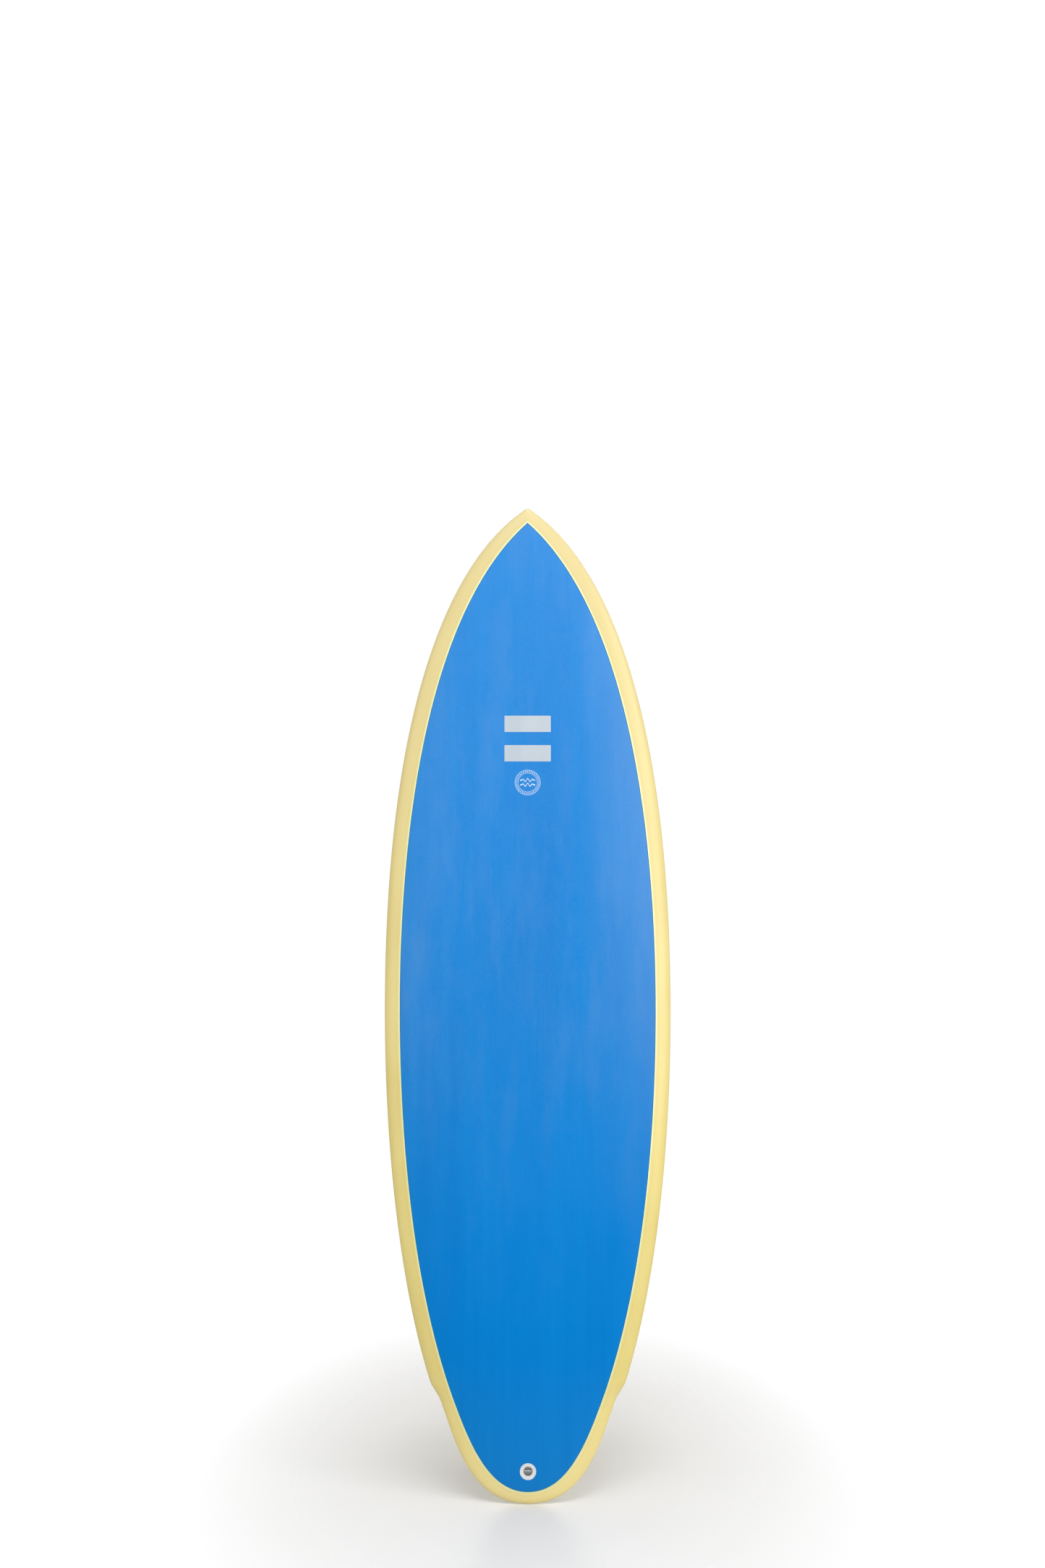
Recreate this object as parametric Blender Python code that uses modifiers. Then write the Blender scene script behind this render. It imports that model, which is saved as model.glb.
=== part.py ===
"""Shortboard surfboard with a winged round tail and a three-fin layout.

The board stands on its tail and leans back, deck facing -Y. It is modelled in its own axes
first: x across, y from deck (-) to bottom (+), z from tail tip (0) to nose tip (LENGTH).
The empty board_frame then leans it and sets the tail's lowest point on the ground plane.
"""
import math

import bmesh
import bpy
from mathutils import Matrix, Vector

# Board, in metres
LENGTH = 1.880
THICKNESS = 0.070
THICKEST_AT = 0.978
NOSE_TIP_THICKNESS = 0.012
TAIL_TIP_THICKNESS = 0.019
NOSE_FOIL_POWER = 2
TAIL_FOIL_POWER = 2.28
FLAT_SPOT = 0.865
NOSE_ROCKER = 0.120
TAIL_ROCKER = 0.057
NOSE_ROCKER_POWER = 2.4
TAIL_ROCKER_POWER = 2.2
RAIL_APEX = 0.36
LEAN = math.radians(12)

# Cutters reach well past the board, clear of a local surface, or through one panel
CUT_DEPTH = 0.3
CLEAR = 0.006
PANEL_CUT = 0.020
SLOPE_STEP = 0.010

# Plan outline: Bezier spans of (station, half width), from tail tip to nose tip
TAIL_SPAN = ((0, 0), (0, 0.105), (0.104, 0.132), (0.176, 0.1595))
WING_SPAN = ((0.176, 0.1595), (0.190, 0.164), (0.202, 0.1755), (0.212, 0.180))
HIP_SPAN = ((0.212, 0.180), (0.337, 0.224), (0.589, 0.275), (0.950, 0.275))
NOSE_SPAN = ((0.950, 0.275), (1.700, 0.275), (1.8438, 0.0524), (1.8758, 0.0089))
TIP_SPAN = ((1.8758, 0.0089), (1.8778, 0.0062), (1.880, 0.0030), (1.880, 0))
OUTLINE = ((TAIL_SPAN, 10), (WING_SPAN, 4), (HIP_SPAN, 8), (NOSE_SPAN, 13), (TIP_SPAN, 3))

# Cut lap: the edge of the deck inlay
LAP_OUTLINE = (
    (((0.021, 0), (0.021, 0.066), (0.092, 0.101), (0.166, 0.1305)), 8),
    (((0.166, 0.1305), (0.396, 0.224), (0.720, 0.245), (0.940, 0.245)), 9),
    (((0.940, 0.245), (1.276, 0.245), (1.682, 0.193), (1.851, 0)), 13),
)
PINLINE_WIDTH = 0.0024

# Ribs fan out round both tips: how far and how soon their roots are pulled inboard
TAIL_FAN = 0.060
TAIL_FAN_REACH = 0.090
NOSE_FAN = 0.070
NOSE_FAN_REACH = 0.110
DECK_CROWN = (2.6, 2.6, 2.4)
DECK_ROUND = 1.9
BOTTOM_FLATNESS = (40, 8, 5)
BOTTOM_ROUND = 2.0
DECK_STEPS = 7
BOTTOM_STEPS = 5

# Layers
SKIN = 0.0010
GAP = 0.0003
STRINGER = 0.004

# Deck graphics
STRIPE = (0.090, 0.032)
STRIPE_STATIONS = {"stripe_upper": 1.4535, "stripe_lower": 1.3955}
EMBLEM_STATION = 1.338
EMBLEM_RADIUS = 0.025

# Leash plug
PLUG_STATION = 0.057
PLUG_RADIUS = 0.015
PLUG_FLANGE = 0.0016
PLUG_BODY_RADIUS = 0.0125
PLUG_DEPTH = 0.0160
CUP_RADIUS = 0.00825
CUP_DEPTH = 0.0125
BAR_RADIUS = 0.002
BAR_LENGTH = 0.020
BAR_DEPTH = 0.005
POTTING_RADIUS = 0.017
POTTING_DEPTH = 0.0178

# Fin boxes: station and offset of the box centre, and the side (-1 left, 0 centre, 1 right)
FIN_PLACES = {"left": (0.338, 0.168, -1), "centre": (0.151, 0, 0), "right": (0.338, 0.168, 1)}
CANT = math.radians(6.5)
TOE_IN = math.radians(2.8)
BOX_LENGTH = 0.132
BOX_WIDTH = 0.026
BOX_FLANGE = 0.0025
BOX_BODY = (0.022, 0.0170, 0.031)
BOX_RECESS = 0.0002
JACKET_MARGIN = 0.0035
JACKET_DEPTH = 0.0195
TAB_SPACING = 0.076
TAB = (0.0057, 0.0140, 0.0195)
POCKET = (0.0066, 0.0152, 0.0215)

# Grub screws
SCREW_RADIUS = 0.0025
SCREW_LENGTH = 0.007
SCREW_TIP_RADIUS = 0.0008
SCREW_TIP_LENGTH = 0.003
SCREW_CHAMFER = 0.0003
SCREW_TILT = math.radians(32)
SCREW_TIP_AT = (0.0039, -0.0085)
SOCKET_RADIUS = 0.00144
SOCKET_DEPTH = 0.0025
HOLE_BELOW_TIP = 0.0005

# Fins: edges as Bezier spans of (along the base, out from the board)
FIN_LEADING = ((0.056, 0), (0.034, 0.040), (-0.006, 0.098), (-0.058, 0.1155))
FIN_TRAILING = ((-0.056, 0), (-0.044, 0.030), (-0.047, 0.070), (-0.076, 0.1125))
FIN_STEPS = 9
FIN_BASE_THICKNESS = 0.0070
FIN_TIP_THICKNESS = 0.0018
FIN_EDGE = 0.0004
FIN_BASE_GAP = 0.0005
FIN_SHARES = (0, 0.06, 0.2, 0.4, 0.65, 0.88, 1)
TAB_TOP = 0.0010
FIN_FLAT_SIDE = 0.25

PALETTE = {
    "blue_resin": ((0.010, 0.210, 0.630), 0.35, 0),
    "yellow_resin": ((0.780, 0.620, 0.240), 0.35, 0),
    "pinline_resin": ((0.850, 0.850, 0.480), 0.35, 0),
    "graphic": ((0.600, 0.680, 0.760), 0.45, 0),
    "blank_foam": ((0.880, 0.880, 0.840), 0.90, 0),
    "wood": ((0.550, 0.360, 0.180), 0.70, 0),
    "white_plastic": ((0.800, 0.800, 0.800), 0.40, 0),
    "steel": ((0.560, 0.560, 0.560), 0.25, 1),
    "clear_resin": ((0.700, 0.690, 0.600), 0.15, 0),
    "dense_foam": ((0.620, 0.560, 0.420), 0.85, 0),
    "black_plastic": ((0.030, 0.030, 0.032), 0.50, 0),
    "fin_composite": ((0.060, 0.200, 0.420), 0.30, 0),
}


# ---------------------------------------------------------------- scene helpers
def clear_scene():
    for obj in list(bpy.data.objects):
        bpy.data.objects.remove(obj)


def collection(name):
    group = bpy.data.collections.new(name)
    bpy.context.scene.collection.children.link(group)
    return group


def make_materials():
    for name, (colour, roughness, metallic) in PALETTE.items():
        material = bpy.data.materials.new(name)
        material.use_nodes = True
        shader = material.node_tree.nodes["Principled BSDF"]
        shader.inputs["Base Color"].default_value = (*colour, 1)
        shader.inputs["Roughness"].default_value = roughness
        shader.inputs["Metallic"].default_value = metallic


def place(name, mesh, parent, material=None):
    """A part with a material, or a cutter without one, in its parent's axes."""
    obj = bpy.data.objects.new(name, mesh)
    if material:
        mesh.materials.append(bpy.data.materials[material])
        parts.objects.link(obj)
    else:
        cutters.objects.link(obj)
        obj.hide_render = True
        obj.display_type = "WIRE"
    obj.parent = parent
    return obj


def axes(name, parent, matrix):
    empty = bpy.data.objects.new(name, None)
    parts.objects.link(empty)
    empty.parent = parent
    empty.matrix_local = matrix
    return empty


def boolean(obj, operation, *others):
    for other in others:
        cut = obj.modifiers.new(other.name, "BOOLEAN")
        cut.operation = operation
        cut.solver = "EXACT"
        cut.object = other


def finish_mesh(bm, name):
    bmesh.ops.recalc_face_normals(bm, faces=bm.faces)
    mesh = bpy.data.meshes.new(name)
    bm.to_mesh(mesh)
    bm.free()
    return mesh


def prism_mesh(name, outline, low, high):
    """An outline of (x, z) points extruded along y from low to high."""
    bm = bmesh.new()
    face = bm.faces.new([bm.verts.new((x, low, z)) for x, z in outline])
    moved = bmesh.ops.extrude_face_region(bm, geom=[face])["geom"]
    corners = [v for v in moved if isinstance(v, bmesh.types.BMVert)]
    bmesh.ops.translate(bm, verts=corners, vec=(0, high - low, 0))
    return finish_mesh(bm, name)


def block_mesh(name, low, high):
    """A box between two corners."""
    outline = [(low[0], low[2]), (high[0], low[2]), (high[0], high[2]), (low[0], high[2])]
    return prism_mesh(name, outline, low[1], high[1])


def stadium(length, width, steps=8):
    """Points of a slot shape with round ends, long in z."""
    radius = width / 2
    straight = length / 2 - radius
    points = []
    for end in (1, -1):
        for i in range(steps + 1):
            turn = math.pi * i / steps
            points.append((end * radius * math.cos(turn), end * (straight + radius * math.sin(turn))))
    return points


def disc(radius, steps=32):
    turns = (2 * math.pi * i / steps for i in range(steps))
    return [(radius * math.cos(turn), radius * math.sin(turn)) for turn in turns]


def cylinder_mesh(name, radius, low, high, sides=32):
    """A cylinder along z from low to high."""
    bm = bmesh.new()
    middle = Matrix.Translation((0, 0, (low + high) / 2))
    bmesh.ops.create_cone(bm, cap_ends=True, segments=sides, radius1=radius, radius2=radius,
                          depth=high - low, matrix=middle)
    return finish_mesh(bm, name)


def turned(obj, steps):
    """Spins a profile in the xz plane round z."""
    screw = obj.modifiers.new("turn", "SCREW")
    screw.steps = screw.render_steps = steps
    screw.use_merge_vertices = True
    screw.merge_threshold = 0.0001


def profile_mesh(name, points):
    mesh = bpy.data.meshes.new(name)
    edges = [(i, i + 1) for i in range(len(points) - 1)]
    mesh.from_pydata([(x, 0, z) for x, z in points], edges, [])
    return mesh


# ---------------------------------------------------------------- board shape
def bezier(span, t):
    weights = ((1 - t) ** 3, 3 * t * (1 - t) ** 2, 3 * t * t * (1 - t), t ** 3)
    return tuple(sum(w * p[k] for w, p in zip(weights, span)) for k in (0, 1))


def trace(spans):
    """Points along a chain of Bezier spans, each with its number of steps."""
    points = [spans[0][0][0]]
    for span, steps in spans:
        points += [bezier(span, (i + 1) / steps) for i in range(steps)]
    return points


def rocker(station):
    """How far the bottom's centre line lies towards the deck side of the straight z axis."""
    towards_nose = max(0, (station - FLAT_SPOT) / (LENGTH - FLAT_SPOT))
    towards_tail = max(0, (FLAT_SPOT - station) / FLAT_SPOT)
    nose_lift = NOSE_ROCKER * towards_nose ** NOSE_ROCKER_POWER
    return nose_lift + TAIL_ROCKER * towards_tail ** TAIL_ROCKER_POWER


def thickness(station):
    towards_nose = max(0, (station - THICKEST_AT) / (LENGTH - THICKEST_AT))
    towards_tail = max(0, (THICKEST_AT - station) / THICKEST_AT)
    thinner = (THICKNESS - NOSE_TIP_THICKNESS) * towards_nose ** NOSE_FOIL_POWER
    thinner += (THICKNESS - TAIL_TIP_THICKNESS) * towards_tail ** TAIL_FOIL_POWER
    return THICKNESS - thinner


def along_board(station, values):
    """Blends three values set at the tail, the middle and the nose."""
    tail, middle, nose = values
    share = 2 * station / LENGTH
    return tail + (middle - tail) * share if share < 1 else middle + (nose - middle) * (share - 1)


def rib_root(station):
    tail_pull = TAIL_FAN * math.exp(-station / TAIL_FAN_REACH)
    nose_pull = NOSE_FAN * math.exp((station - LENGTH) / NOSE_FAN_REACH)
    return station + tail_pull - nose_pull


def deck_height(station, crown, reach):
    apex = RAIL_APEX * thickness(station)
    return apex + (thickness(station) - apex) * (1 - reach ** crown) ** (1 / DECK_ROUND)


def bottom_height(station, flatness, reach):
    apex = RAIL_APEX * thickness(station)
    return apex * (1 - (1 - reach ** flatness) ** (1 / BOTTOM_ROUND))


def rib_point(rail, angle, on_deck):
    """A point on a rib: angle 0 is at the rail, a quarter turn is on the centre line."""
    station, half_width = rail
    power = along_board(station, DECK_CROWN if on_deck else BOTTOM_FLATNESS)
    on_centre = math.isclose(angle, math.pi / 2)
    reach = 0 if on_centre else math.cos(angle) ** (2 / power)
    along = rib_root(station) + (station - rib_root(station)) * reach
    height = (deck_height if on_deck else bottom_height)(along, power, reach)
    return Vector((half_width * reach, -(rocker(along) + height), along))


def rib(rail):
    """One rib's points, from the deck's centre line round the rail to the bottom's."""
    deck = [rib_point(rail, math.pi / 2 * (1 - i / DECK_STEPS), True) for i in range(DECK_STEPS)]
    turns = [math.pi / 2 * i / BOTTOM_STEPS for i in range(BOTTOM_STEPS + 1)]
    return deck + [rib_point(rail, turn, False) for turn in turns]


def board_mesh(name, inset):
    """The whole board's closed skin, moved inwards by inset.

    A quad with one corner off the centre plane is split through that corner, so that no triangle
    lies in the plane, where its mirror image would cover it.
    """
    bm = bmesh.new()
    ribs = [[bm.verts.new(point) for point in rib(rail)] for rail in trace(OUTLINE)]
    for near, far in zip(ribs, ribs[1:]):
        for k in range(len(near) - 1):
            corners = [near[k], far[k], far[k + 1], near[k + 1]]
            off_centre = [i for i, vert in enumerate(corners) if vert.co.x > 0]
            first = off_centre[0] % 2 if len(off_centre) == 1 else 0
            bm.faces.new(corners[first:] + corners[:first])
    bmesh.ops.triangulate(bm, faces=bm.faces, quad_method="FIXED")
    bmesh.ops.mirror(bm, geom=bm.verts[:] + bm.edges[:] + bm.faces[:], axis="X", merge_dist=1e-5)
    bmesh.ops.recalc_face_normals(bm, faces=bm.faces)
    bm.normal_update()
    moves = [(v, v.normal * inset) for v in bm.verts]
    for vert, move in moves:
        vert.co -= move
    return finish_mesh(bm, name)


def half_width(station):
    points = trace(OUTLINE)
    for (near, narrow), (far, wide) in zip(points, points[1:]):
        if near <= station <= far and far > near:
            return narrow + (wide - narrow) * (station - near) / (far - near)
    return 0


def bottom_point(station, across):
    reach = min(1, abs(across) / half_width(station))
    height = bottom_height(station, along_board(station, BOTTOM_FLATNESS), reach)
    return Vector((across, -(rocker(station) + height), station))


def deck_point(station):
    return Vector((0, -(rocker(station) + thickness(station)), station))


def frame_matrix(origin, x_axis, y_axis, z_axis):
    matrix = Matrix((x_axis, y_axis, z_axis)).transposed().to_4x4()
    matrix.translation = origin
    return matrix


def bottom_frame(station, across, toe):
    """Axes on the bottom: z towards the nose, y straight out of the bottom."""
    ahead, behind = station + SLOPE_STEP, station - SLOPE_STEP
    lengthwise = bottom_point(ahead, across) - bottom_point(behind, across)
    right, left = across + SLOPE_STEP, across - SLOPE_STEP
    crosswise = bottom_point(station, right) - bottom_point(station, left)
    out = lengthwise.cross(crosswise).normalized()
    forward = lengthwise.normalized()
    matrix = frame_matrix(bottom_point(station, across), out.cross(forward), out, forward)
    return matrix @ Matrix.Rotation(toe, 4, "Y")


def deck_frame(station):
    """Axes on the deck's centre line: z straight out of the deck, y towards the nose."""
    forward = (deck_point(station + SLOPE_STEP) - deck_point(station - SLOPE_STEP)).normalized()
    across = Vector((1, 0, 0))
    return frame_matrix(deck_point(station), across, forward, across.cross(forward))


def lap_outline(offset):
    """Half of the cut lap's line, moved outwards, with its points kept on or right of centre."""
    line = trace(LAP_OUTLINE)
    moved = []
    for i, (station, across) in enumerate(line):
        near, far = line[max(0, i - 1)], line[min(len(line) - 1, i + 1)]
        run, rise = far[0] - near[0], far[1] - near[1]
        size = math.hypot(run, rise)
        moved.append((station - offset * rise / size, across + offset * run / size))
    moved[0] = (line[0][0] - offset, 0)
    run, rise = line[-1][0] - line[-2][0], line[-1][1] - line[-2][1]
    tip = line[-1][0] - offset * math.hypot(run, rise) / rise
    return moved[:-1] + [(tip, 0)]


def deck_cutter(name, offset):
    """A block over the deck whose plan is the cut lap's line and whose floor is inside the board."""
    bm = bmesh.new()
    rings = []
    for station, across in lap_outline(offset):
        floor = -(rocker(station) + 0.5 * thickness(station))
        sides = (across, -across) if across else (0,)
        low = [bm.verts.new((x, floor, station)) for x in sides]
        high = [bm.verts.new((x, -CUT_DEPTH, station)) for x in sides]
        rings.append(low + high[::-1])
    for near, far in zip(rings[1:], rings[2:-1]):
        for k in range(4):
            bm.faces.new((near[k - 1], near[k], far[k], far[k - 1]))
    for ring, (low, high) in ((rings[1], rings[0]), (rings[-2], rings[-1])):
        right_low, left_low, left_high, right_high = ring
        bm.faces.new((low, right_low, left_low))
        bm.faces.new((high, left_high, right_high))
        bm.faces.new((low, left_low, left_high, high))
        bm.faces.new((low, right_low, right_high, high))
    bmesh.ops.triangulate(bm, faces=bm.faces)
    return place(name, finish_mesh(bm, name), board_frame)


# ---------------------------------------------------------------- pieces
def build_core():
    """The blank's two halves and the stringer, all still as wide as the board."""
    return {
        "left": place("foam_core_left", board_mesh("left", SKIN + GAP), board_frame, "blank_foam"),
        "right": place("foam_core_right", board_mesh("right", SKIN + GAP), board_frame,
                       "blank_foam"),
        "centre": place("stringer", board_mesh("stringer", SKIN + GAP), board_frame, "wood"),
    }


def split_core(core):
    """Trims the halves and the stringer to their own widths, once their pockets are cut."""
    edge = STRINGER / 2
    spans = {"left": (-CUT_DEPTH, -edge - GAP), "right": (edge + GAP, CUT_DEPTH),
             "centre": (-edge, edge)}
    for name, (low, high) in spans.items():
        top_corner = (high, CUT_DEPTH, LENGTH + CUT_DEPTH)
        block = block_mesh("keep", (low, -CUT_DEPTH, -CUT_DEPTH), top_corner)
        boolean(core[name], "INTERSECT", place(f"core_keep_{name}", block, board_frame))


def build_skins():
    """Deck inlay, pinline, and the laminate that wraps the rails and bottom."""
    inside = place("inside_cut", board_mesh("inside_cut", SKIN), board_frame)
    cuts = {name: deck_cutter(name, offset) for name, offset in (
        ("inlay_edge", 0), ("pinline_inner", GAP),
        ("pinline_outer", GAP + PINLINE_WIDTH), ("lap_edge", 2 * GAP + PINLINE_WIDTH))}
    deck = place("deck_laminate", board_mesh("deck_laminate", 0), board_frame, "blue_resin")
    boolean(deck, "INTERSECT", cuts["inlay_edge"])
    boolean(deck, "DIFFERENCE", inside)
    pinline = place("pinline", board_mesh("pinline", 0), board_frame, "pinline_resin")
    boolean(pinline, "INTERSECT", cuts["pinline_outer"])
    boolean(pinline, "DIFFERENCE", cuts["pinline_inner"], inside)
    wrap = place("rail_and_bottom_laminate", board_mesh("rail_and_bottom_laminate", 0),
                 board_frame, "yellow_resin")
    boolean(wrap, "DIFFERENCE", cuts["lap_edge"], inside)
    return deck, wrap, inside


def graphic_window(name, outline, station, deck, inside):
    """A thin panel let into the deck inlay."""
    middle = deck_point(station).y
    panel_block = prism_mesh(name, outline(0), -PANEL_CUT, PANEL_CUT)
    window_block = prism_mesh(name, outline(GAP), -PANEL_CUT, PANEL_CUT)
    keep = place(name + "_keep", panel_block, board_frame)
    window = place(name + "_window", window_block, board_frame)
    keep.matrix_local = window.matrix_local = Matrix.Translation((0, middle, station))
    panel = place(name, board_mesh(name, 0), board_frame, "graphic")
    boolean(panel, "INTERSECT", keep)
    boolean(panel, "DIFFERENCE", inside)
    boolean(deck, "DIFFERENCE", window)


def stripe_outline(margin):
    half, rise = STRIPE[0] / 2 + margin, STRIPE[1] / 2 + margin
    return [(-half, -rise), (half, -rise), (half, rise), (-half, rise)]


def build_graphics(deck, inside):
    for name, station in STRIPE_STATIONS.items():
        graphic_window(name, stripe_outline, station, deck, inside)
    graphic_window("emblem", lambda margin: disc(EMBLEM_RADIUS + margin), EMBLEM_STATION,
                   deck, inside)


def build_leash_plug(deck, core):
    """A cup with a steel bar across it, potted in resin."""
    frame = axes("leash_plug_axes", board_frame, deck_frame(PLUG_STATION))
    lip = foot = PLUG_FLANGE / 2
    edge = PLUG_FLANGE / 4
    cup = place("leash_cup", profile_mesh("leash_cup", [
        (0, -CUP_DEPTH), (CUP_RADIUS - foot, -CUP_DEPTH), (CUP_RADIUS, foot - CUP_DEPTH),
        (CUP_RADIUS, -lip), (CUP_RADIUS + lip, 0), (PLUG_RADIUS - edge, 0),
        (PLUG_RADIUS, -edge), (PLUG_RADIUS, -PLUG_FLANGE), (PLUG_BODY_RADIUS, -PLUG_FLANGE),
        (PLUG_BODY_RADIUS, foot - PLUG_DEPTH), (PLUG_BODY_RADIUS - foot, -PLUG_DEPTH),
        (0, -PLUG_DEPTH)]), frame, "white_plastic")
    turned(cup, 28)
    across = Matrix.Translation((0, 0, -BAR_DEPTH)) @ Matrix.Rotation(math.pi / 2, 4, "Y")
    half = BAR_LENGTH / 2
    bar = place("leash_bar", cylinder_mesh("leash_bar", BAR_RADIUS, -half, half, 16), frame, "steel")
    seat = place("bar_seat", cylinder_mesh("bar_seat", BAR_RADIUS + GAP, -half - GAP, half + GAP, 16),
                 frame)
    bar.matrix_local = seat.matrix_local = across
    boolean(cup, "DIFFERENCE", seat)

    window = place("plug_window", cylinder_mesh("plug_window", PLUG_RADIUS + GAP, -CLEAR, CLEAR),
                   frame)
    boolean(deck, "DIFFERENCE", window)
    flange_room = place("flange_room", cylinder_mesh(
        "flange_room", PLUG_RADIUS + GAP, -PLUG_FLANGE - GAP, CLEAR), frame)
    body_room = place("plug_body_room", cylinder_mesh(
        "plug_body_room", PLUG_BODY_RADIUS + GAP, -PLUG_DEPTH - GAP, CLEAR), frame)
    potting_keep = place("potting_keep", cylinder_mesh(
        "potting_keep", POTTING_RADIUS, -POTTING_DEPTH, CLEAR), frame)
    potting = place("leash_plug_potting", board_mesh("leash_plug_potting", SKIN + GAP),
                    board_frame, "clear_resin")
    boolean(potting, "INTERSECT", potting_keep)
    boolean(potting, "DIFFERENCE", flange_room, body_room)
    pocket = place("potting_pocket", cylinder_mesh(
        "potting_pocket", POTTING_RADIUS + GAP, -POTTING_DEPTH - GAP, CLEAR), frame)
    for piece in core.values():
        boolean(piece, "DIFFERENCE", pocket)


def tab_centres():
    return {"front": TAB_SPACING / 2, "rear": -TAB_SPACING / 2}


def body_block(name, parent, middle, margin):
    """The moulded body round one tab pocket, or the room for it."""
    wide, deep, long = BOX_BODY
    low = (-wide / 2 - margin, -deep - margin, middle - long / 2 - margin)
    high = (wide / 2 + margin, -BOX_FLANGE / 2, middle + long / 2 + margin)
    return place(name, block_mesh(name, low, high), parent)


def build_fin_box(name, frame, slot, screw_side, wrap, core):
    """A moulded box with two tab pockets, in a dense foam jacket under the bottom laminate."""
    box = place(f"fin_box_{name}", prism_mesh("box", stadium(BOX_LENGTH, BOX_WIDTH),
                -BOX_FLANGE, 0), frame, "black_plastic")
    room = place(f"box_room_{name}", prism_mesh("room", stadium(
        BOX_LENGTH + 2 * GAP, BOX_WIDTH + 2 * GAP), -BOX_FLANGE - GAP, CLEAR), frame)
    jacket = place(f"fin_box_foam_{name}", board_mesh("jacket", SKIN + GAP), board_frame,
                   "dense_foam")
    length, width = BOX_LENGTH + 2 * JACKET_MARGIN, BOX_WIDTH + 2 * JACKET_MARGIN
    keep = place(f"jacket_keep_{name}", prism_mesh("keep", stadium(length, width),
                 -JACKET_DEPTH, CLEAR), frame)
    pocket = place(f"jacket_pocket_{name}", prism_mesh("pocket", stadium(
        length + 2 * GAP, width + 2 * GAP), -JACKET_DEPTH - GAP, CLEAR), frame)
    boolean(jacket, "INTERSECT", keep)
    boolean(jacket, "DIFFERENCE", room)
    for end, middle in tab_centres().items():
        boolean(box, "UNION", body_block(f"box_body_{name}_{end}", frame, middle, 0))
        boolean(jacket, "DIFFERENCE", body_block(f"body_room_{name}_{end}", frame, middle, GAP))
    for end, middle in tab_centres().items():
        boolean(box, "DIFFERENCE", tab_pocket(f"pocket_{name}_{end}", slot, middle))
        boolean(box, "DIFFERENCE", build_screw(f"{name}_{end}", slot, middle, screw_side))
    boolean(wrap, "DIFFERENCE", room)
    for piece in core.values() if name == "centre" else [core[name]]:
        boolean(piece, "DIFFERENCE", pocket)


def tab_pocket(name, slot, middle):
    wide, deep, long = POCKET
    low, high = (-wide / 2, -deep, middle - long / 2), (wide / 2, CLEAR, middle + long / 2)
    return place(name, block_mesh(name, low, high), slot)


def build_screw(name, slot, middle, side):
    """A cone-point grub screw with a hex socket; returns the cutter of its hole."""
    tip_x, tip_y = SCREW_TIP_AT
    tip = Matrix.Translation((side * tip_x, tip_y, middle))
    tilt = Matrix.Rotation(-side * SCREW_TILT, 4, "Z") @ Matrix.Rotation(-math.pi / 2, 4, "X")
    frame = axes(f"screw_axis_{name}", slot, tip @ tilt)
    screw = place(f"grub_screw_{name}", profile_mesh("screw", [
        (0, SCREW_LENGTH), (SCREW_RADIUS - SCREW_CHAMFER, SCREW_LENGTH),
        (SCREW_RADIUS, SCREW_LENGTH - SCREW_CHAMFER), (SCREW_RADIUS, SCREW_TIP_LENGTH),
        (SCREW_TIP_RADIUS, 0), (0, 0)]), frame, "steel")
    turned(screw, 16)
    socket = place(f"hex_socket_{name}", cylinder_mesh(
        "socket", SOCKET_RADIUS, SCREW_LENGTH - SOCKET_DEPTH, SCREW_LENGTH + CLEAR, 6), frame)
    boolean(screw, "DIFFERENCE", socket)
    return place(f"screw_hole_{name}", cylinder_mesh(
        "hole", SCREW_RADIUS + GAP, -HOLE_BELOW_TIP, SCREW_LENGTH + CLEAR, 16), frame)


def foil(share, thick, flat):
    """Half thicknesses of the two faces of a foil, share going 0 to 1 from nose to trailing edge."""
    swell = 2.6 * math.sqrt(share) * (1 - share) ** 0.9 * (1 - 0.25 * share)
    room = (thick / 2 - FIN_EDGE) * swell
    return FIN_EDGE + room, FIN_EDGE + room * flat


def fin_section(level, thick, outer_side, flat, cant):
    """One closed ring of points across the fin, at one level between base and tip."""
    leading, trailing = bezier(FIN_LEADING, level), bezier(FIN_TRAILING, level)
    faces = ([], [])
    for share in FIN_SHARES:
        z = leading[0] + (trailing[0] - leading[0]) * share
        y = leading[1] + (trailing[1] - leading[1]) * share
        outer, inner = foil(share, thick, flat)
        for face, x in ((faces[0], outer_side * outer), (faces[1], -outer_side * inner)):
            base = FIN_BASE_GAP + x * math.tan(cant) if level == 0 else y
            face.append((x, base, z))
    return faces[0] + faces[1][::-1]


def fin_mesh(name, side):
    """The blade: a stack of foil sections from base to tip, leaning out by the cant angle."""
    outer_side = side or 1
    flat = FIN_FLAT_SIDE if side else 1
    bm = bmesh.new()
    rings = []
    for step in range(FIN_STEPS + 1):
        level = step / FIN_STEPS
        thick = FIN_BASE_THICKNESS + (FIN_TIP_THICKNESS - FIN_BASE_THICKNESS) * level ** 0.8
        section = fin_section(level, thick, outer_side, flat, side * CANT)
        rings.append([bm.verts.new(point) for point in section])
    count = len(rings[0])
    for near, far in zip(rings, rings[1:]):
        for k in range(count):
            bm.faces.new((near[k - 1], near[k], far[k], far[k - 1]))
    bm.faces.new(rings[0])
    bm.faces.new(rings[-1])
    bmesh.ops.triangulate(bm, faces=bm.faces)
    return finish_mesh(bm, name)


def build_fin(name, slot, side):
    fin = place(f"fin_{name}", fin_mesh(name, side), slot, "fin_composite")
    wide, deep, long = TAB
    for end, middle in tab_centres().items():
        low, high = (-wide / 2, -deep, middle - long / 2), (wide / 2, TAB_TOP, middle + long / 2)
        boolean(fin, "UNION", place(f"tab_{name}_{end}", block_mesh("tab", low, high), slot))


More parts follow.
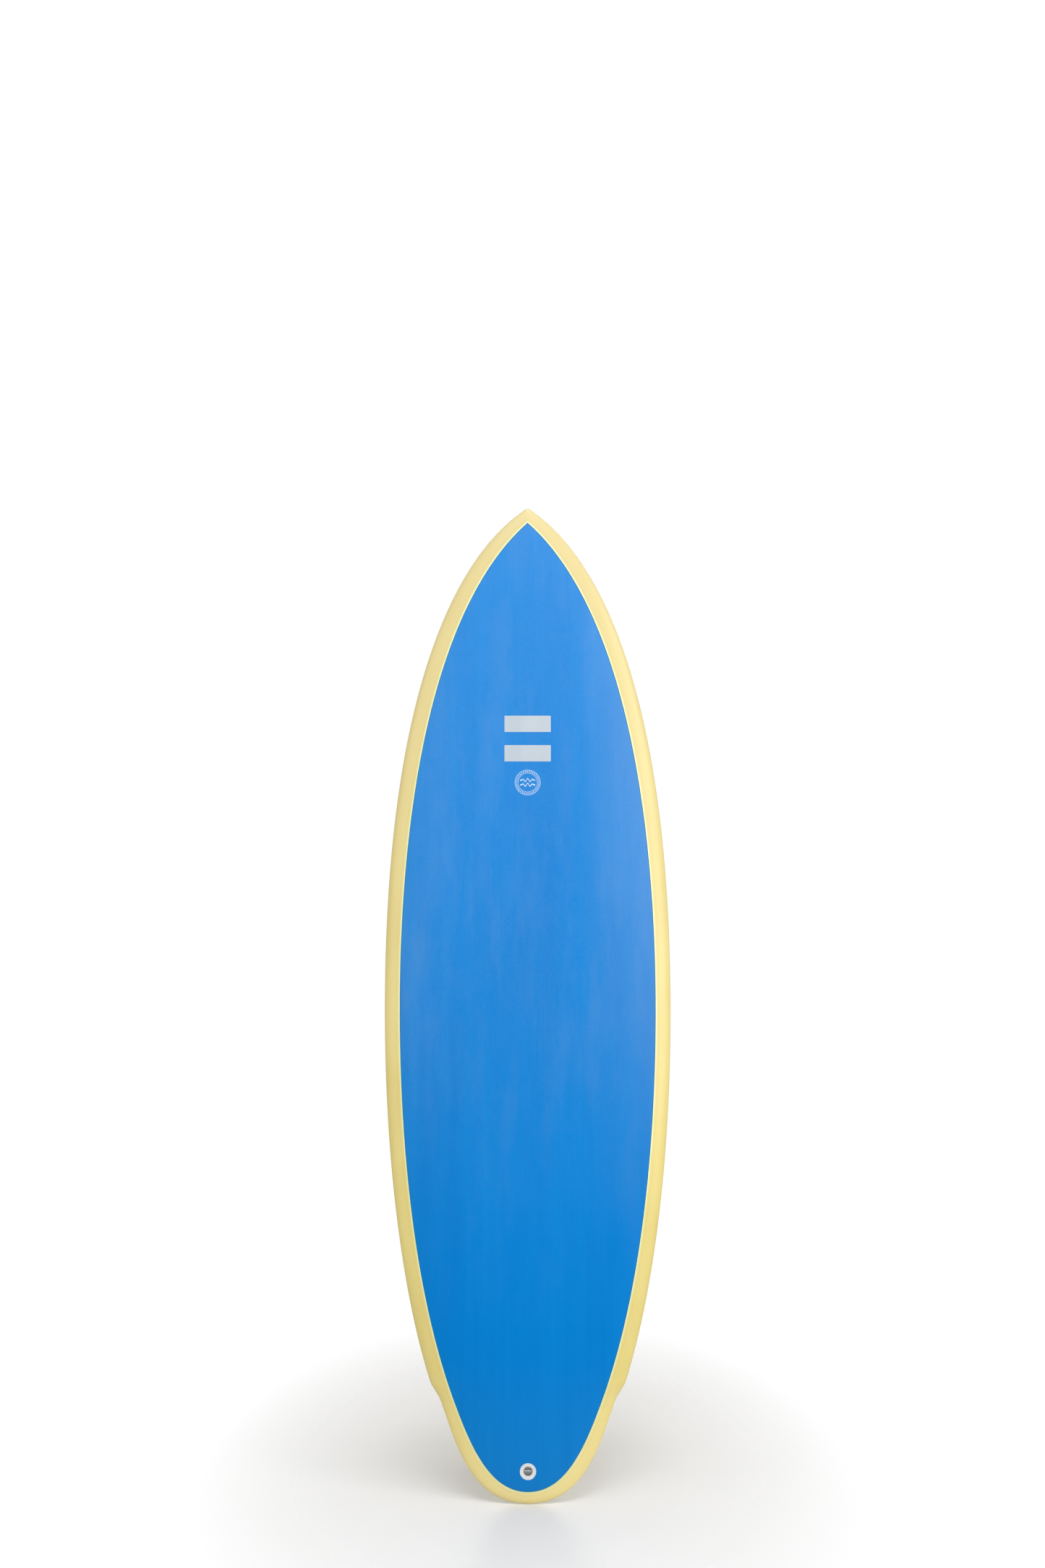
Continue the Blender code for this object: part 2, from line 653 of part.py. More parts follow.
def build_fins(wrap, core):
    for name, (station, offset, side) in FIN_PLACES.items():
        matrix = bottom_frame(station, side * offset, -side * TOE_IN)
        recess = Matrix.Translation((0, -BOX_RECESS, 0))
        frame = axes(f"fin_box_axes_{name}", board_frame, matrix @ recess)
        slot = axes(f"fin_slot_axes_{name}", frame, Matrix.Rotation(-side * CANT, 4, "Z"))
        build_fin_box(name, frame, slot, -1 if side > 0 else 1, wrap, core)
        build_fin(name, slot, side)


def shade_parts():
    for obj in parts.objects:
        if obj.type == "MESH":
            obj.data.shade_smooth()
            obj.data.set_sharp_from_angle(angle=math.radians(35))


def stand_on_tail():
    """Leans the board back and puts the lowest point of its tail at the origin's height."""
    lean = Matrix.Rotation(-LEAN, 4, "X")
    lowest = min((lean @ point for rail in trace(OUTLINE)[:4] for point in rib(rail)),
                 key=lambda point: point.z)
    board_frame.matrix_world = Matrix.Translation((0, -lowest.y, -lowest.z)) @ lean


clear_scene()
make_materials()
parts = collection("shortboard")
cutters = collection("cutters")
board_frame = axes("board_frame", None, Matrix())
core_pieces = build_core()
deck_skin, wrap_skin, inside_cutter = build_skins()
build_graphics(deck_skin, inside_cutter)
build_leash_plug(deck_skin, core_pieces)
build_fins(wrap_skin, core_pieces)
split_core(core_pieces)
shade_parts()
stand_on_tail()
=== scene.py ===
"""Looks of the shortboard surfboard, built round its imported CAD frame.

The board is shaped in its own axes, as in the CAD: x across, y from deck (-) to bottom (+),
z from tail tip (0) to nose tip (LENGTH). Each finished mesh is then moved to the row frame.
"""
import math

import bmesh
import bpy
from mathutils import Matrix, Vector


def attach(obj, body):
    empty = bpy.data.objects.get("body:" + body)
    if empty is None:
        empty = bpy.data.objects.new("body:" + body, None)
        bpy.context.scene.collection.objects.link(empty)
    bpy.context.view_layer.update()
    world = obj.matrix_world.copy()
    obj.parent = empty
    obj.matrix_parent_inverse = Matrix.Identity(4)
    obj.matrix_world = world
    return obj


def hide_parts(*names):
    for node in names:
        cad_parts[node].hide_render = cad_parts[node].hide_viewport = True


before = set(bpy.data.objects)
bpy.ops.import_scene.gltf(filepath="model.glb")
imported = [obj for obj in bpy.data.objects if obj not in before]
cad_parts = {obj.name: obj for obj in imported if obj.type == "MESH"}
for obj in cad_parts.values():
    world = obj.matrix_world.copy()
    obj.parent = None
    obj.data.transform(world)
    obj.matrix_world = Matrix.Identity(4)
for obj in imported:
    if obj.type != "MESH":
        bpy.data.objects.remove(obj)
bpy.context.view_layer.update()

# Board shape, in metres, as in the CAD, but with the pinline 0.2 mm wider
LENGTH = 1.880
THICKNESS = 0.070
THICKEST_AT = 0.978
NOSE_TIP_THICKNESS = 0.012
TAIL_TIP_THICKNESS = 0.019
NOSE_FOIL_POWER = 2
TAIL_FOIL_POWER = 2.28
FLAT_SPOT = 0.865
NOSE_ROCKER = 0.120
TAIL_ROCKER = 0.057
NOSE_ROCKER_POWER = 2.4
TAIL_ROCKER_POWER = 2.2
RAIL_APEX = 0.36
SLOPE_STEP = 0.010
TAIL_SPAN = ((0, 0), (0, 0.105), (0.104, 0.132), (0.176, 0.1595))
WING_SPAN = ((0.176, 0.1595), (0.190, 0.164), (0.202, 0.1755), (0.212, 0.180))
HIP_SPAN = ((0.212, 0.180), (0.337, 0.224), (0.589, 0.275), (0.950, 0.275))
NOSE_SPAN = ((0.950, 0.275), (1.700, 0.275), (1.8438, 0.0524), (1.8758, 0.0089))
TIP_SPAN = ((1.8758, 0.0089), (1.8778, 0.0062), (1.880, 0.0030), (1.880, 0))
OUTLINE = ((TAIL_SPAN, 10), (WING_SPAN, 4), (HIP_SPAN, 8), (NOSE_SPAN, 13), (TIP_SPAN, 3))
LAP_OUTLINE = (
    (((0.021, 0), (0.021, 0.066), (0.092, 0.101), (0.166, 0.1305)), 8),
    (((0.166, 0.1305), (0.396, 0.224), (0.720, 0.245), (0.940, 0.245)), 9),
    (((0.940, 0.245), (1.276, 0.245), (1.682, 0.193), (1.851, 0)), 13),
)
PINLINE_WIDTH = 0.0026
TAIL_FAN = 0.060
TAIL_FAN_REACH = 0.090
NOSE_FAN = 0.070
NOSE_FAN_REACH = 0.110
DECK_CROWN = (2.6, 2.6, 2.4)
DECK_ROUND = 1.9
BOTTOM_FLATNESS = (40, 8, 5)
BOTTOM_ROUND = 2.0
SKIN = 0.0010
WELD = 1e-6
SLIVER = 1e-7
SEAM_BAND = 0.004
SEAM_ROWS = 4
LAP_EDGE = 0.0042

# The board's own origin and lean in the row frame
FOOT = Vector((0, 0.06033, -0.01298))
LEAN = math.radians(12)
BOARD = Matrix.Translation(FOOT) @ Matrix.Rotation(-LEAN, 4, "X")

# How finely the surfaces are made: times the CAD's steps along the board, and rows across it
FINER = 6
INLAY_ROWS = 22
PINLINE_ROWS = 2
DECK_RAIL_ROWS = 14
BOTTOM_ROWS = 22

# Deck graphics: ring radii from inner to outer, and each ray's spread in degrees
STRIPE = (0.090, 0.032)
STRIPE_STATIONS = {"stripe_upper": 1.4535, "stripe_lower": 1.3955}
EMBLEM_STATION = 1.338
EMBLEM_RINGS = ((0.0239, 0.0248), (0.0182, 0.0189))
EMBLEM_RAYS = 36
RAY_RADII = (0.0200, 0.0229)
RAY_SPREAD = 4
WAVE_LEVELS = (0.0046, -0.0046)
WAVE_CRESTS = 3
WAVE_RISE = 0.0030
WAVE_HALF_WIDTH = 0.0012
WAVE_HALF_SPAN = 0.0145
GRAPHIC_LIFT = 0.00006
GRAPHIC_DEPTH = 0.0003

# Leash plug
PLUG_STATION = 0.057
PLUG_RADIUS = 0.015
PLUG_FLANGE = 0.0016
PLUG_BODY_RADIUS = 0.0125
PLUG_DEPTH = 0.0160
CUP_RADIUS = 0.00825
CUP_DEPTH = 0.0125
BAR_RADIUS = 0.002
BAR_LENGTH = 0.020
BAR_DEPTH = 0.005
PLUG_RIM = 0.0006
CUP_LIP = 0.0011
CUP_FOOT = 0.0030
LIP_GROOVE = ((0.0012, 0.00005), (0.0016, -0.0001), (0.0020, 0.00005))

# Fin boxes and fins
FIN_PLACES = {"left": (0.338, 0.168, -1), "centre": (0.151, 0, 0), "right": (0.338, 0.168, 1)}
CANT = math.radians(6.5)
TOE_IN = math.radians(2.8)
BOX_LENGTH = 0.132
BOX_WIDTH = 0.026
BOX_FLANGE = 0.0025
BOX_BODY = (0.022, 0.0170, 0.031)
BOX_RECESS = 0.0002
BOX_EDGE = 0.0005
CRISP_EDGE = 0.0001
BODY_CORNER = 0.002
TAB_CORNER = 0.0012
GAP = 0.0003
CLEAR = 0.006
TAB_SPACING = 0.076
TAB = (0.0057, 0.0140, 0.0195)
POCKET = (0.0066, 0.0152, 0.0215)
FIN_LEADING = ((0.056, 0), (0.034, 0.040), (-0.006, 0.098), (-0.058, 0.1155))
FIN_TRAILING = ((-0.056, 0), (-0.044, 0.030), (-0.047, 0.070), (-0.076, 0.1125))
FIN_BASE_THICKNESS = 0.0070
FIN_TIP_THICKNESS = 0.0018
FIN_EDGE = 0.0004
FIN_BASE_GAP = 0.0005
FIN_TIP_ROUND = 0.90
FIN_TIP_THINS = 0.97
FIN_FLAT_SIDE = 0.25
FIN_THINNING = 0.8
FOIL_FULLNESS = 2.6
FOIL_TAPER = 0.9
FOIL_LEAN = 0.25
FOIL_CROWDING = 1.6
PLY_WAVE = 22000
TAB_TOP = 0.0007

# Grub screws
SCREW_RADIUS = 0.0025
SCREW_LENGTH = 0.007
SCREW_TIP_RADIUS = 0.0008
SCREW_TIP_LENGTH = 0.003
SCREW_CHAMFER = 0.0003
SCREW_TILT = math.radians(32)
SCREW_TIP_AT = (0.0039, -0.0085)
SCREW_PITCH = 0.0008
THREAD_DEPTH = 0.0003
SOCKET_RADIUS = 0.00144
SOCKET_DEPTH = 0.0025
HOLE_BELOW_TIP = 0.0005

# Camera, stage and lights
CAMERA_AT = (-0.010, -3.964, 1.3095)
CAMERA_LENS = 50
FLOOR_RADIUS = 2.5
FLOOR_SINK = 0.0004
# The floor is painted shade close round the board, and fades out between these distances from its
# stretched middle
FLOOR_SHADE_FADE = (0.12, 0.62)
FLOOR_SHADE_MIDDLE = (0, 0.25, 0)
FLOOR_SHADE_STRETCH = (1, 1.8, 1)
LIGHTS = {
    "key": {"place": (3.3, -1.8, 2.2), "target": (0, 0.1, 0.9), "size": (1.6, 2.8), "power": 94},
    "top": {"place": (0, -2.2, 4.6), "target": (0, 0.2, 0.9), "size": (3.0, 2.0), "power": 105},
    "fill": {"place": (-3.2, -1.4, 1.8), "target": (0, 0.1, 0.9), "size": (1.6, 2.8), "power": 36},
    "back": {"place": (0, 3.4, 0.7), "target": (0, 0.2, 1.1), "size": (1.2, 1.0), "power": 6,
             "spread": 50},
}

# World light: where it changes with height, and from front to back
HORIZON = (-0.05, 0)
OVERHEAD = (0.35, 0.55)
SIDES = (-0.1, 0.1)
WORLD_BELOW = 0.95
WORLD_LOW = 0.03
WORLD_HIGH = 0.30
WORLD_BEHIND = 0.38


# ---------------------------------------------------------------- board shape
def bezier(span, t):
    weights = ((1 - t) ** 3, 3 * t * (1 - t) ** 2, 3 * t * t * (1 - t), t ** 3)
    return tuple(sum(w * p[k] for w, p in zip(weights, span)) for k in (0, 1))


def trace(spans, finer=1):
    """Points along a chain of Bezier spans, each with its number of steps."""
    points = [spans[0][0][0]]
    for span, steps in spans:
        points += [bezier(span, (i + 1) / (steps * finer)) for i in range(steps * finer)]
    return points


def rocker(station):
    """How far the bottom's centre line lies towards the deck side of the straight z axis."""
    towards_nose = max(0, (station - FLAT_SPOT) / (LENGTH - FLAT_SPOT))
    towards_tail = max(0, (FLAT_SPOT - station) / FLAT_SPOT)
    nose_lift = NOSE_ROCKER * towards_nose ** NOSE_ROCKER_POWER
    return nose_lift + TAIL_ROCKER * towards_tail ** TAIL_ROCKER_POWER


def thickness(station):
    towards_nose = max(0, (station - THICKEST_AT) / (LENGTH - THICKEST_AT))
    towards_tail = max(0, (THICKEST_AT - station) / THICKEST_AT)
    thinner = (THICKNESS - NOSE_TIP_THICKNESS) * towards_nose ** NOSE_FOIL_POWER
    thinner += (THICKNESS - TAIL_TIP_THICKNESS) * towards_tail ** TAIL_FOIL_POWER
    return THICKNESS - thinner


def along_board(station, values):
    """Blends three values set at the tail, the middle and the nose."""
    tail, middle, nose = values
    share = 2 * station / LENGTH
    return tail + (middle - tail) * share if share < 1 else middle + (nose - middle) * (share - 1)


def rib_root(station):
    """Where the rib that ends at a station of the rail starts on the centre line."""
    tail_pull = TAIL_FAN * math.exp(-station / TAIL_FAN_REACH)
    nose_pull = NOSE_FAN * math.exp((station - LENGTH) / NOSE_FAN_REACH)
    return station + tail_pull - nose_pull


def deck_height(station, crown, reach):
    apex = RAIL_APEX * thickness(station)
    return apex + (thickness(station) - apex) * max(0, 1 - reach ** crown) ** (1 / DECK_ROUND)


def bottom_height(station, flatness, reach):
    apex = RAIL_APEX * thickness(station)
    return apex * (1 - max(0, 1 - reach ** flatness) ** (1 / BOTTOM_ROUND))


def rib_point(rail, reach, on_deck):
    """A point on a rib: reach 0 is on the centre line, reach 1 at the rail."""
    station, half_width = rail
    power = along_board(station, DECK_CROWN if on_deck else BOTTOM_FLATNESS)
    along = rib_root(station) + (station - rib_root(station)) * reach
    height = (deck_height if on_deck else bottom_height)(along, power, reach)
    return Vector((half_width * reach, -(rocker(along) + height), along))


def half_width(station):
    points = trace(OUTLINE)
    for (near, narrow), (far, wide) in zip(points, points[1:]):
        if near <= station <= far and far > near:
            return narrow + (wide - narrow) * (station - near) / (far - near)
    return 0


def bottom_point(station, across):
    reach = min(1, abs(across) / half_width(station))
    height = bottom_height(station, along_board(station, BOTTOM_FLATNESS), reach)
    return Vector((across, -(rocker(station) + height), station))


def deck_point(station, across=0, rounds=12):
    """A point on the deck; the rib through it is found by stepping towards its rail end."""
    rail = station
    for _ in range(rounds):
        reach = abs(across) / max(half_width(rail), 1e-6)
        root_gap = rib_root(rail) - rail
        rail = station - root_gap * (1 - reach)
    height = deck_height(station, along_board(rail, DECK_CROWN), min(1, reach))
    return Vector((across, -(rocker(station) + height), station))


def frame_matrix(origin, x_axis, y_axis, z_axis):
    matrix = Matrix((x_axis, y_axis, z_axis)).transposed().to_4x4()
    matrix.translation = origin
    return matrix


def bottom_frame(station, across, toe):
    """Axes on the bottom: z towards the nose, y straight out of the bottom."""
    ahead, behind = station + SLOPE_STEP, station - SLOPE_STEP
    lengthwise = bottom_point(ahead, across) - bottom_point(behind, across)
    right, left = across + SLOPE_STEP, across - SLOPE_STEP
    crosswise = bottom_point(station, right) - bottom_point(station, left)
    out = lengthwise.cross(crosswise).normalized()
    forward = lengthwise.normalized()
    matrix = frame_matrix(bottom_point(station, across), out.cross(forward), out, forward)
    return matrix @ Matrix.Rotation(toe, 4, "Y")


def deck_frame(station):
    """Axes on the deck's centre line: z straight out of the deck, y towards the nose."""
    forward = (deck_point(station + SLOPE_STEP) - deck_point(station - SLOPE_STEP)).normalized()
    across = Vector((1, 0, 0))
    return frame_matrix(deck_point(station), across, forward, across.cross(forward))


def lap_outline(offset):
    """Half of the cut lap's line, finely, moved outwards, with its points right of centre."""
    line = trace(LAP_OUTLINE, FINER)
    moved = []
    for i, (station, across) in enumerate(line):
        near, far = line[max(0, i - 1)], line[min(len(line) - 1, i + 1)]
        run, rise = far[0] - near[0], far[1] - near[1]
        size = math.hypot(run, rise)
        moved.append((station - offset * rise / size, across + offset * run / size))
    moved[0] = (line[0][0] - offset, 0)
    run, rise = line[-1][0] - line[-2][0], line[-1][1] - line[-2][1]
    tip = line[-1][0] - offset * math.hypot(run, rise) / rise
    return moved[:-1] + [(tip, 0)]


def crossing(rail, line):
    """Where a rib crosses a lap line, as a share of the rib from its root."""
    root = rib_root(rail[0])
    run, rise = rail[0] - root, rail[1]
    for near, far in zip(line, line[1:]):
        before = run * near[1] - rise * (near[0] - root)
        after = run * far[1] - rise * (far[0] - root)
        if before * after <= 0 and before != after:
            part = before / (before - after)
            station = near[0] + part * (far[0] - near[0])
            across = near[1] + part * (far[1] - near[1])
            share = ((station - root) * run + across * rise) / (run * run + rise * rise)
            if share > 0:
                return share
    raise ValueError("a rib misses the lap line")


# ---------------------------------------------------------------- meshes
def add_object(name, data):
    obj = bpy.data.objects.new(name, data)
    bpy.context.scene.collection.objects.link(obj)
    return obj


def new_object(name, mesh, matrix):
    """An object whose mesh is moved into the row frame."""
    mesh.transform(matrix)
    return add_object(name, mesh)


def to_mesh(bm, name):
    mesh = bpy.data.meshes.new(name)
    bm.to_mesh(mesh)
    bm.free()
    return mesh


def finish_mesh(bm, name):
    bmesh.ops.recalc_face_normals(bm, faces=bm.faces)
    return to_mesh(bm, name)


def shade(obj, angle=35):
    obj.data.shade_smooth()
    obj.data.set_sharp_from_angle(angle=math.radians(angle))


def apply_modifiers(obj):
    graph = bpy.context.evaluated_depsgraph_get()
    mesh = bpy.data.meshes.new_from_object(obj.evaluated_get(graph), depsgraph=graph)
    obj.modifiers.clear()
    obj.data = mesh


def cut(obj, operation, *others):
    """Booleans with shapes that are then thrown away."""
    for other in others:
        change = obj.modifiers.new(other.name, "BOOLEAN")
        change.operation = operation
        change.solver = "EXACT"
        change.object = other
    apply_modifiers(obj)
    for other in others:
        bpy.data.objects.remove(other)


def loft(name, rings, closed=True):
    """Joins rings of points, and caps the first and the last."""
    bm = bmesh.new()
    made = [[bm.verts.new(point) for point in ring] for ring in rings]
    for near, far in zip(made, made[1:]):
        for k in range(0 if closed else 1, len(near)):
            bm.faces.new((near[k - 1], near[k], far[k], far[k - 1]))
    bm.faces.new(made[0])
    bm.faces.new(made[-1][::-1])
    return finish_mesh(bm, name)


def rounded_prism(name, outline, low, high, edge, steps=3):
    """A prism along y whose top edge at high is rounded; outline(inset) gives (x, z) points."""
    rings = [[(x, low, z) for x, z in outline(0)]]
    for i in range(steps + 1):
        turn = math.pi / 2 * i / steps
        inset, drop = edge * (1 - math.cos(turn)), edge * (1 - math.sin(turn))
        rings.append([(x, high - drop, z) for x, z in outline(inset)])
    return loft(name, rings)


def stadium(length, width, inset=0, steps=16):
    """Points of a slot shape with round ends, long in z."""
    radius = width / 2
    straight = length / 2 - radius
    points = []
    for end in (1, -1):
        for i in range(steps + 1):
            turn = math.pi * i / steps
            size = end * (radius - inset)
            points.append((size * math.cos(turn), end * straight + size * math.sin(turn)))
    return points


def rounded_rectangle(wide, long, corner, inset=0, middle=0, steps=5):
    """Points of a rectangle in x and z with round corners."""
    points = []
    corner = max(corner - inset, 1e-5)
    across, along = wide / 2 - inset - corner, long / 2 - inset - corner
    for quarter, (x, z) in enumerate(((1, 1), (-1, 1), (-1, -1), (1, -1))):
        for i in range(steps + 1):
            turn = math.pi / 2 * (quarter + i / steps)
            points.append((x * across + corner * math.cos(turn),
                           middle + z * along + corner * math.sin(turn)))
    return points


def cylinder_mesh(name, radius, low, high, sides=48):
    bm = bmesh.new()
    middle = Matrix.Translation((0, 0, (low + high) / 2))
    bmesh.ops.create_cone(bm, cap_ends=True, segments=sides, radius1=radius, radius2=radius,
                          depth=high - low, matrix=middle)
    return finish_mesh(bm, name)


def lathe(name, profile, steps=72):
    """Turns a profile of (radius, height) round z; a radius of 0 at an end closes it."""
    bm = bmesh.new()
    rings = []
    for radius, height in profile:
        turns = [2 * math.pi * i / steps for i in range(steps)] if radius else [0]
        rings.append([bm.verts.new((radius * math.cos(t), radius * math.sin(t), height))
                      for t in turns])
    for near, far in zip(rings, rings[1:]):
        for k in range(steps):
            ring = [near[(k - 1) % len(near)], near[k % len(near)], far[k % len(far)],
                    far[(k - 1) % len(far)]]
            bm.faces.new(list(dict.fromkeys(ring)))
    return finish_mesh(bm, name)


def fillet(corner, radius, start, end, steps=5):
    """Points of a quarter round at a profile's corner, between two directions in degrees."""
    turns = [math.radians(start + (end - start) * i / steps) for i in range(steps + 1)]
    return [(corner[0] + radius * math.cos(t), corner[1] + radius * math.sin(t)) for t in turns]


# ---------------------------------------------------------------- skins
def skin_mesh(name, columns, edge_distance):
    """A surface through columns(rail), the points of one rib from left to right."""
    bm = bmesh.new()
    edge = bm.verts.layers.float.new("edge_distance")
    ribs = []
    for rail in trace(OUTLINE, FINER):
        points = columns(rail)
        ribs.append([bm.verts.new(point) for point in points])
        for vert, distance in zip(ribs[-1], edge_distance(rail)):
            vert[edge] = distance
    for near, far in zip(ribs, ribs[1:]):
        for k in range(len(near) - 1):
            bm.faces.new((near[k], near[k + 1], far[k + 1], far[k]))
    bmesh.ops.remove_doubles(bm, verts=bm.verts, dist=WELD)
    bmesh.ops.dissolve_degenerate(bm, edges=bm.edges, dist=SLIVER)
    bm.normal_update()
    return to_mesh(bm, name)


def left_side(points):
    """The points mirrored to the left, in reverse order."""
    return [Vector((-p.x, p.y, p.z)) for p in reversed(points)]


def thicken(obj, depth):
    solid = obj.modifiers.new("laminate", "SOLIDIFY")
    solid.thickness = depth
    solid.offset = -1
    apply_modifiers(obj)
    shade(obj, 50)


LAP_LINES = {"inner": lap_outline(0), "outer": lap_outline(PINLINE_WIDTH)}
LAP_SHARES = {}


def lap_share(rail, line):
    if (rail, line) not in LAP_SHARES:
        LAP_SHARES[rail, line] = crossing(rail, LAP_LINES[line])
    return LAP_SHARES[rail, line]


def rib_length(rail):
    return math.hypot(rail[0] - rib_root(rail[0]), rail[1])


def inlay_shares(rail):
    """Shares of the inlay's half, close together towards its edge."""
    inner = lap_share(rail, "inner")
    band = min(SEAM_BAND / rib_length(rail), 0.2)
    even = [(inner - band) * i / INLAY_ROWS for i in range(INLAY_ROWS + 1)]
    return even + [inner - band * (1 - i / SEAM_ROWS) for i in range(1, SEAM_ROWS + 1)]


def inlay_columns(rail):
    half = [rib_point(rail, share, True) for share in inlay_shares(rail)]
    return left_side(half[1:]) + half


def inlay_edge(rail):
    inner = lap_share(rail, "inner")
    half = [(inner - share) * rib_length(rail) for share in inlay_shares(rail)]
    return half[:0:-1] + half


def wrap_columns(rail):
    """From the pinline on the right, round the rails and bottom, to the pinline on the left."""
    outer = lap_share(rail, "outer")
    eased = [(i / DECK_RAIL_ROWS) ** 2 for i in range(DECK_RAIL_ROWS, 0, -1)]
    deck = [rib_point(rail, 1 - (1 - outer) * share, True) for share in eased]
    eased = [(i / BOTTOM_ROWS) ** 3 for i in range(BOTTOM_ROWS + 1)]
    bottom = [rib_point(rail, 1 - share, False) for share in eased]
    half = deck + bottom
    return half + left_side(half[:-1])


def wrap_edge(rail):
    outer = lap_share(rail, "outer")
    deck = [(1 - outer) * (1 - (i / DECK_RAIL_ROWS) ** 2) * rib_length(rail)
            for i in range(DECK_RAIL_ROWS, 0, -1)]
    half = deck + [1] * (BOTTOM_ROWS + 1)
    return half + half[-2::-1]


def pinline_side(name, side):
    def columns(rail):
        inner, outer = lap_share(rail, "inner"), lap_share(rail, "outer")
        shares = [inner + (outer - inner) * i / PINLINE_ROWS for i in range(PINLINE_ROWS + 1)]
        points = [rib_point(rail, share, True) for share in shares]
        return left_side(points) if side < 0 else points
    return skin_mesh(name, columns, lambda rail: [0] * (PINLINE_ROWS + 1))


def make_inlay():
    inlay = new_object("deck_inlay", skin_mesh("deck_inlay", inlay_columns, inlay_edge), BOARD)
    thicken(inlay, SKIN)
    hole = cylinder_mesh("plug_hole", PLUG_RADIUS - PLUG_RIM, -CLEAR, CLEAR, 96)
    cut(inlay, "DIFFERENCE", new_object("plug_hole", hole, BOARD @ deck_frame(PLUG_STATION)))
    shade(inlay, 50)
    return inlay


def make_pinline():
    bm = bmesh.new()
    for side in (-1, 1):
        bm.from_mesh(pinline_side("pinline", side))
    bmesh.ops.remove_doubles(bm, verts=bm.verts, dist=WELD)
    pinline = new_object("deck_pinline", to_mesh(bm, "pinline"), BOARD)
    thicken(pinline, SKIN)
    return pinline


def make_wrap():
    mesh = skin_mesh("rail_and_bottom", wrap_columns, wrap_edge)
    wrap = new_object("rail_and_bottom", mesh, BOARD)
    thicken(wrap, SKIN)
    rooms = []
    for name in FIN_PLACES:
        room = rounded_prism("room", lambda inset: stadium(
            BOX_LENGTH + 2 * GAP, BOX_WIDTH + 2 * GAP, inset), -BOX_FLANGE - GAP, CLEAR, CRISP_EDGE)
        rooms.append(new_object(f"room_{name}", room, fin_frames[name][0]))
    cut(wrap, "DIFFERENCE", *rooms)
    shade(wrap, 50)
    return wrap


# ---------------------------------------------------------------- deck graphics
def deck_patch(name, rings, closed):
    """Thin inlays on the deck, each between two lines of (across, station) points."""
    bm = bmesh.new()
    for inner, outer in rings:
        edges = []
        for depth in (GRAPHIC_LIFT, -GRAPHIC_DEPTH):
            for line in (inner, outer):
                edges.append([bm.verts.new(deck_point(z, x) - Vector((0, depth, 0)))
                              for x, z in line])
        top_in, top_out, low_in, low_out = edges
        count = len(inner)
        for k in range(0 if closed else 1, count):
            bm.faces.new((top_in[k - 1], top_in[k], top_out[k], top_out[k - 1]))
            bm.faces.new((low_in[k - 1], low_in[k], low_out[k], low_out[k - 1]))
            bm.faces.new((top_in[k - 1], top_in[k], low_in[k], low_in[k - 1]))
            bm.faces.new((top_out[k - 1], top_out[k], low_out[k], low_out[k - 1]))
        if not closed:
            for k in (0, count - 1):
                bm.faces.new((top_in[k], top_out[k], low_out[k], low_in[k]))
    obj = new_object(name, finish_mesh(bm, name), BOARD)
    shade(obj)
    return obj


def make_stripe(name, station, columns=24, rows=8):
    """A plain bar: strips side by side across the deck, so that it follows the crown."""
    wide, high = STRIPE
    across = [-wide / 2 + wide * i / columns for i in range(columns + 1)]
    along = [station - high / 2 + high * i / rows for i in range(rows + 1)]
    bm = bmesh.new()
    layers = []
    for depth in (GRAPHIC_LIFT, -GRAPHIC_DEPTH):
        layers.append([[bm.verts.new(deck_point(z, x) - Vector((0, depth, 0))) for x in across]
                       for z in along])
    top, low = layers
    for layer in layers:
        for near, far in zip(layer, layer[1:]):
            for k in range(columns):
                bm.faces.new((near[k], near[k + 1], far[k + 1], far[k]))
    borders = [(top[0], low[0]), (top[-1], low[-1])]
    for end in (0, -1):
        borders.append([[row[end] for row in layer] for layer in layers])
    for upper, lower in borders:
        for k in range(len(upper) - 1):
            bm.faces.new((upper[k], upper[k + 1], lower[k + 1], lower[k]))
    obj = new_object(name + "_print", finish_mesh(bm, name), BOARD)
    shade(obj)
    return obj


def circle_points(radius, start=0, end=360, steps=96):
    turns = [math.radians(start + (end - start) * i / steps) for i in range(steps + 1)]
    return [(radius * math.cos(t), EMBLEM_STATION + radius * math.sin(t)) for t in turns]


def wave_points(level, steps=48):
    """A wave line across the emblem, tapering towards both ends."""
    points = []
    for i in range(steps + 1):
        share = 2 * i / steps - 1
        lift = level + WAVE_RISE * math.cos(WAVE_CRESTS * math.pi * share) * (1 - share * share)
        points.append((WAVE_HALF_SPAN * share, EMBLEM_STATION + lift))
    return points


def make_emblem():
    """A plain badge: two rings, short rays between them, and two waves in the middle."""
    rings = [[circle_points(radius)[:-1] for radius in ring] for ring in EMBLEM_RINGS]
    marks = []
    for i in range(EMBLEM_RAYS):
        start = i * 360 / EMBLEM_RAYS
        marks.append([circle_points(radius, start, start + RAY_SPREAD, 3) for radius in RAY_RADII])
    for level in WAVE_LEVELS:
        marks.append([wave_points(level + side * WAVE_HALF_WIDTH) for side in (-1, 1)])
    return deck_patch("emblem_rings", rings, True), deck_patch("emblem_waves", marks, False)


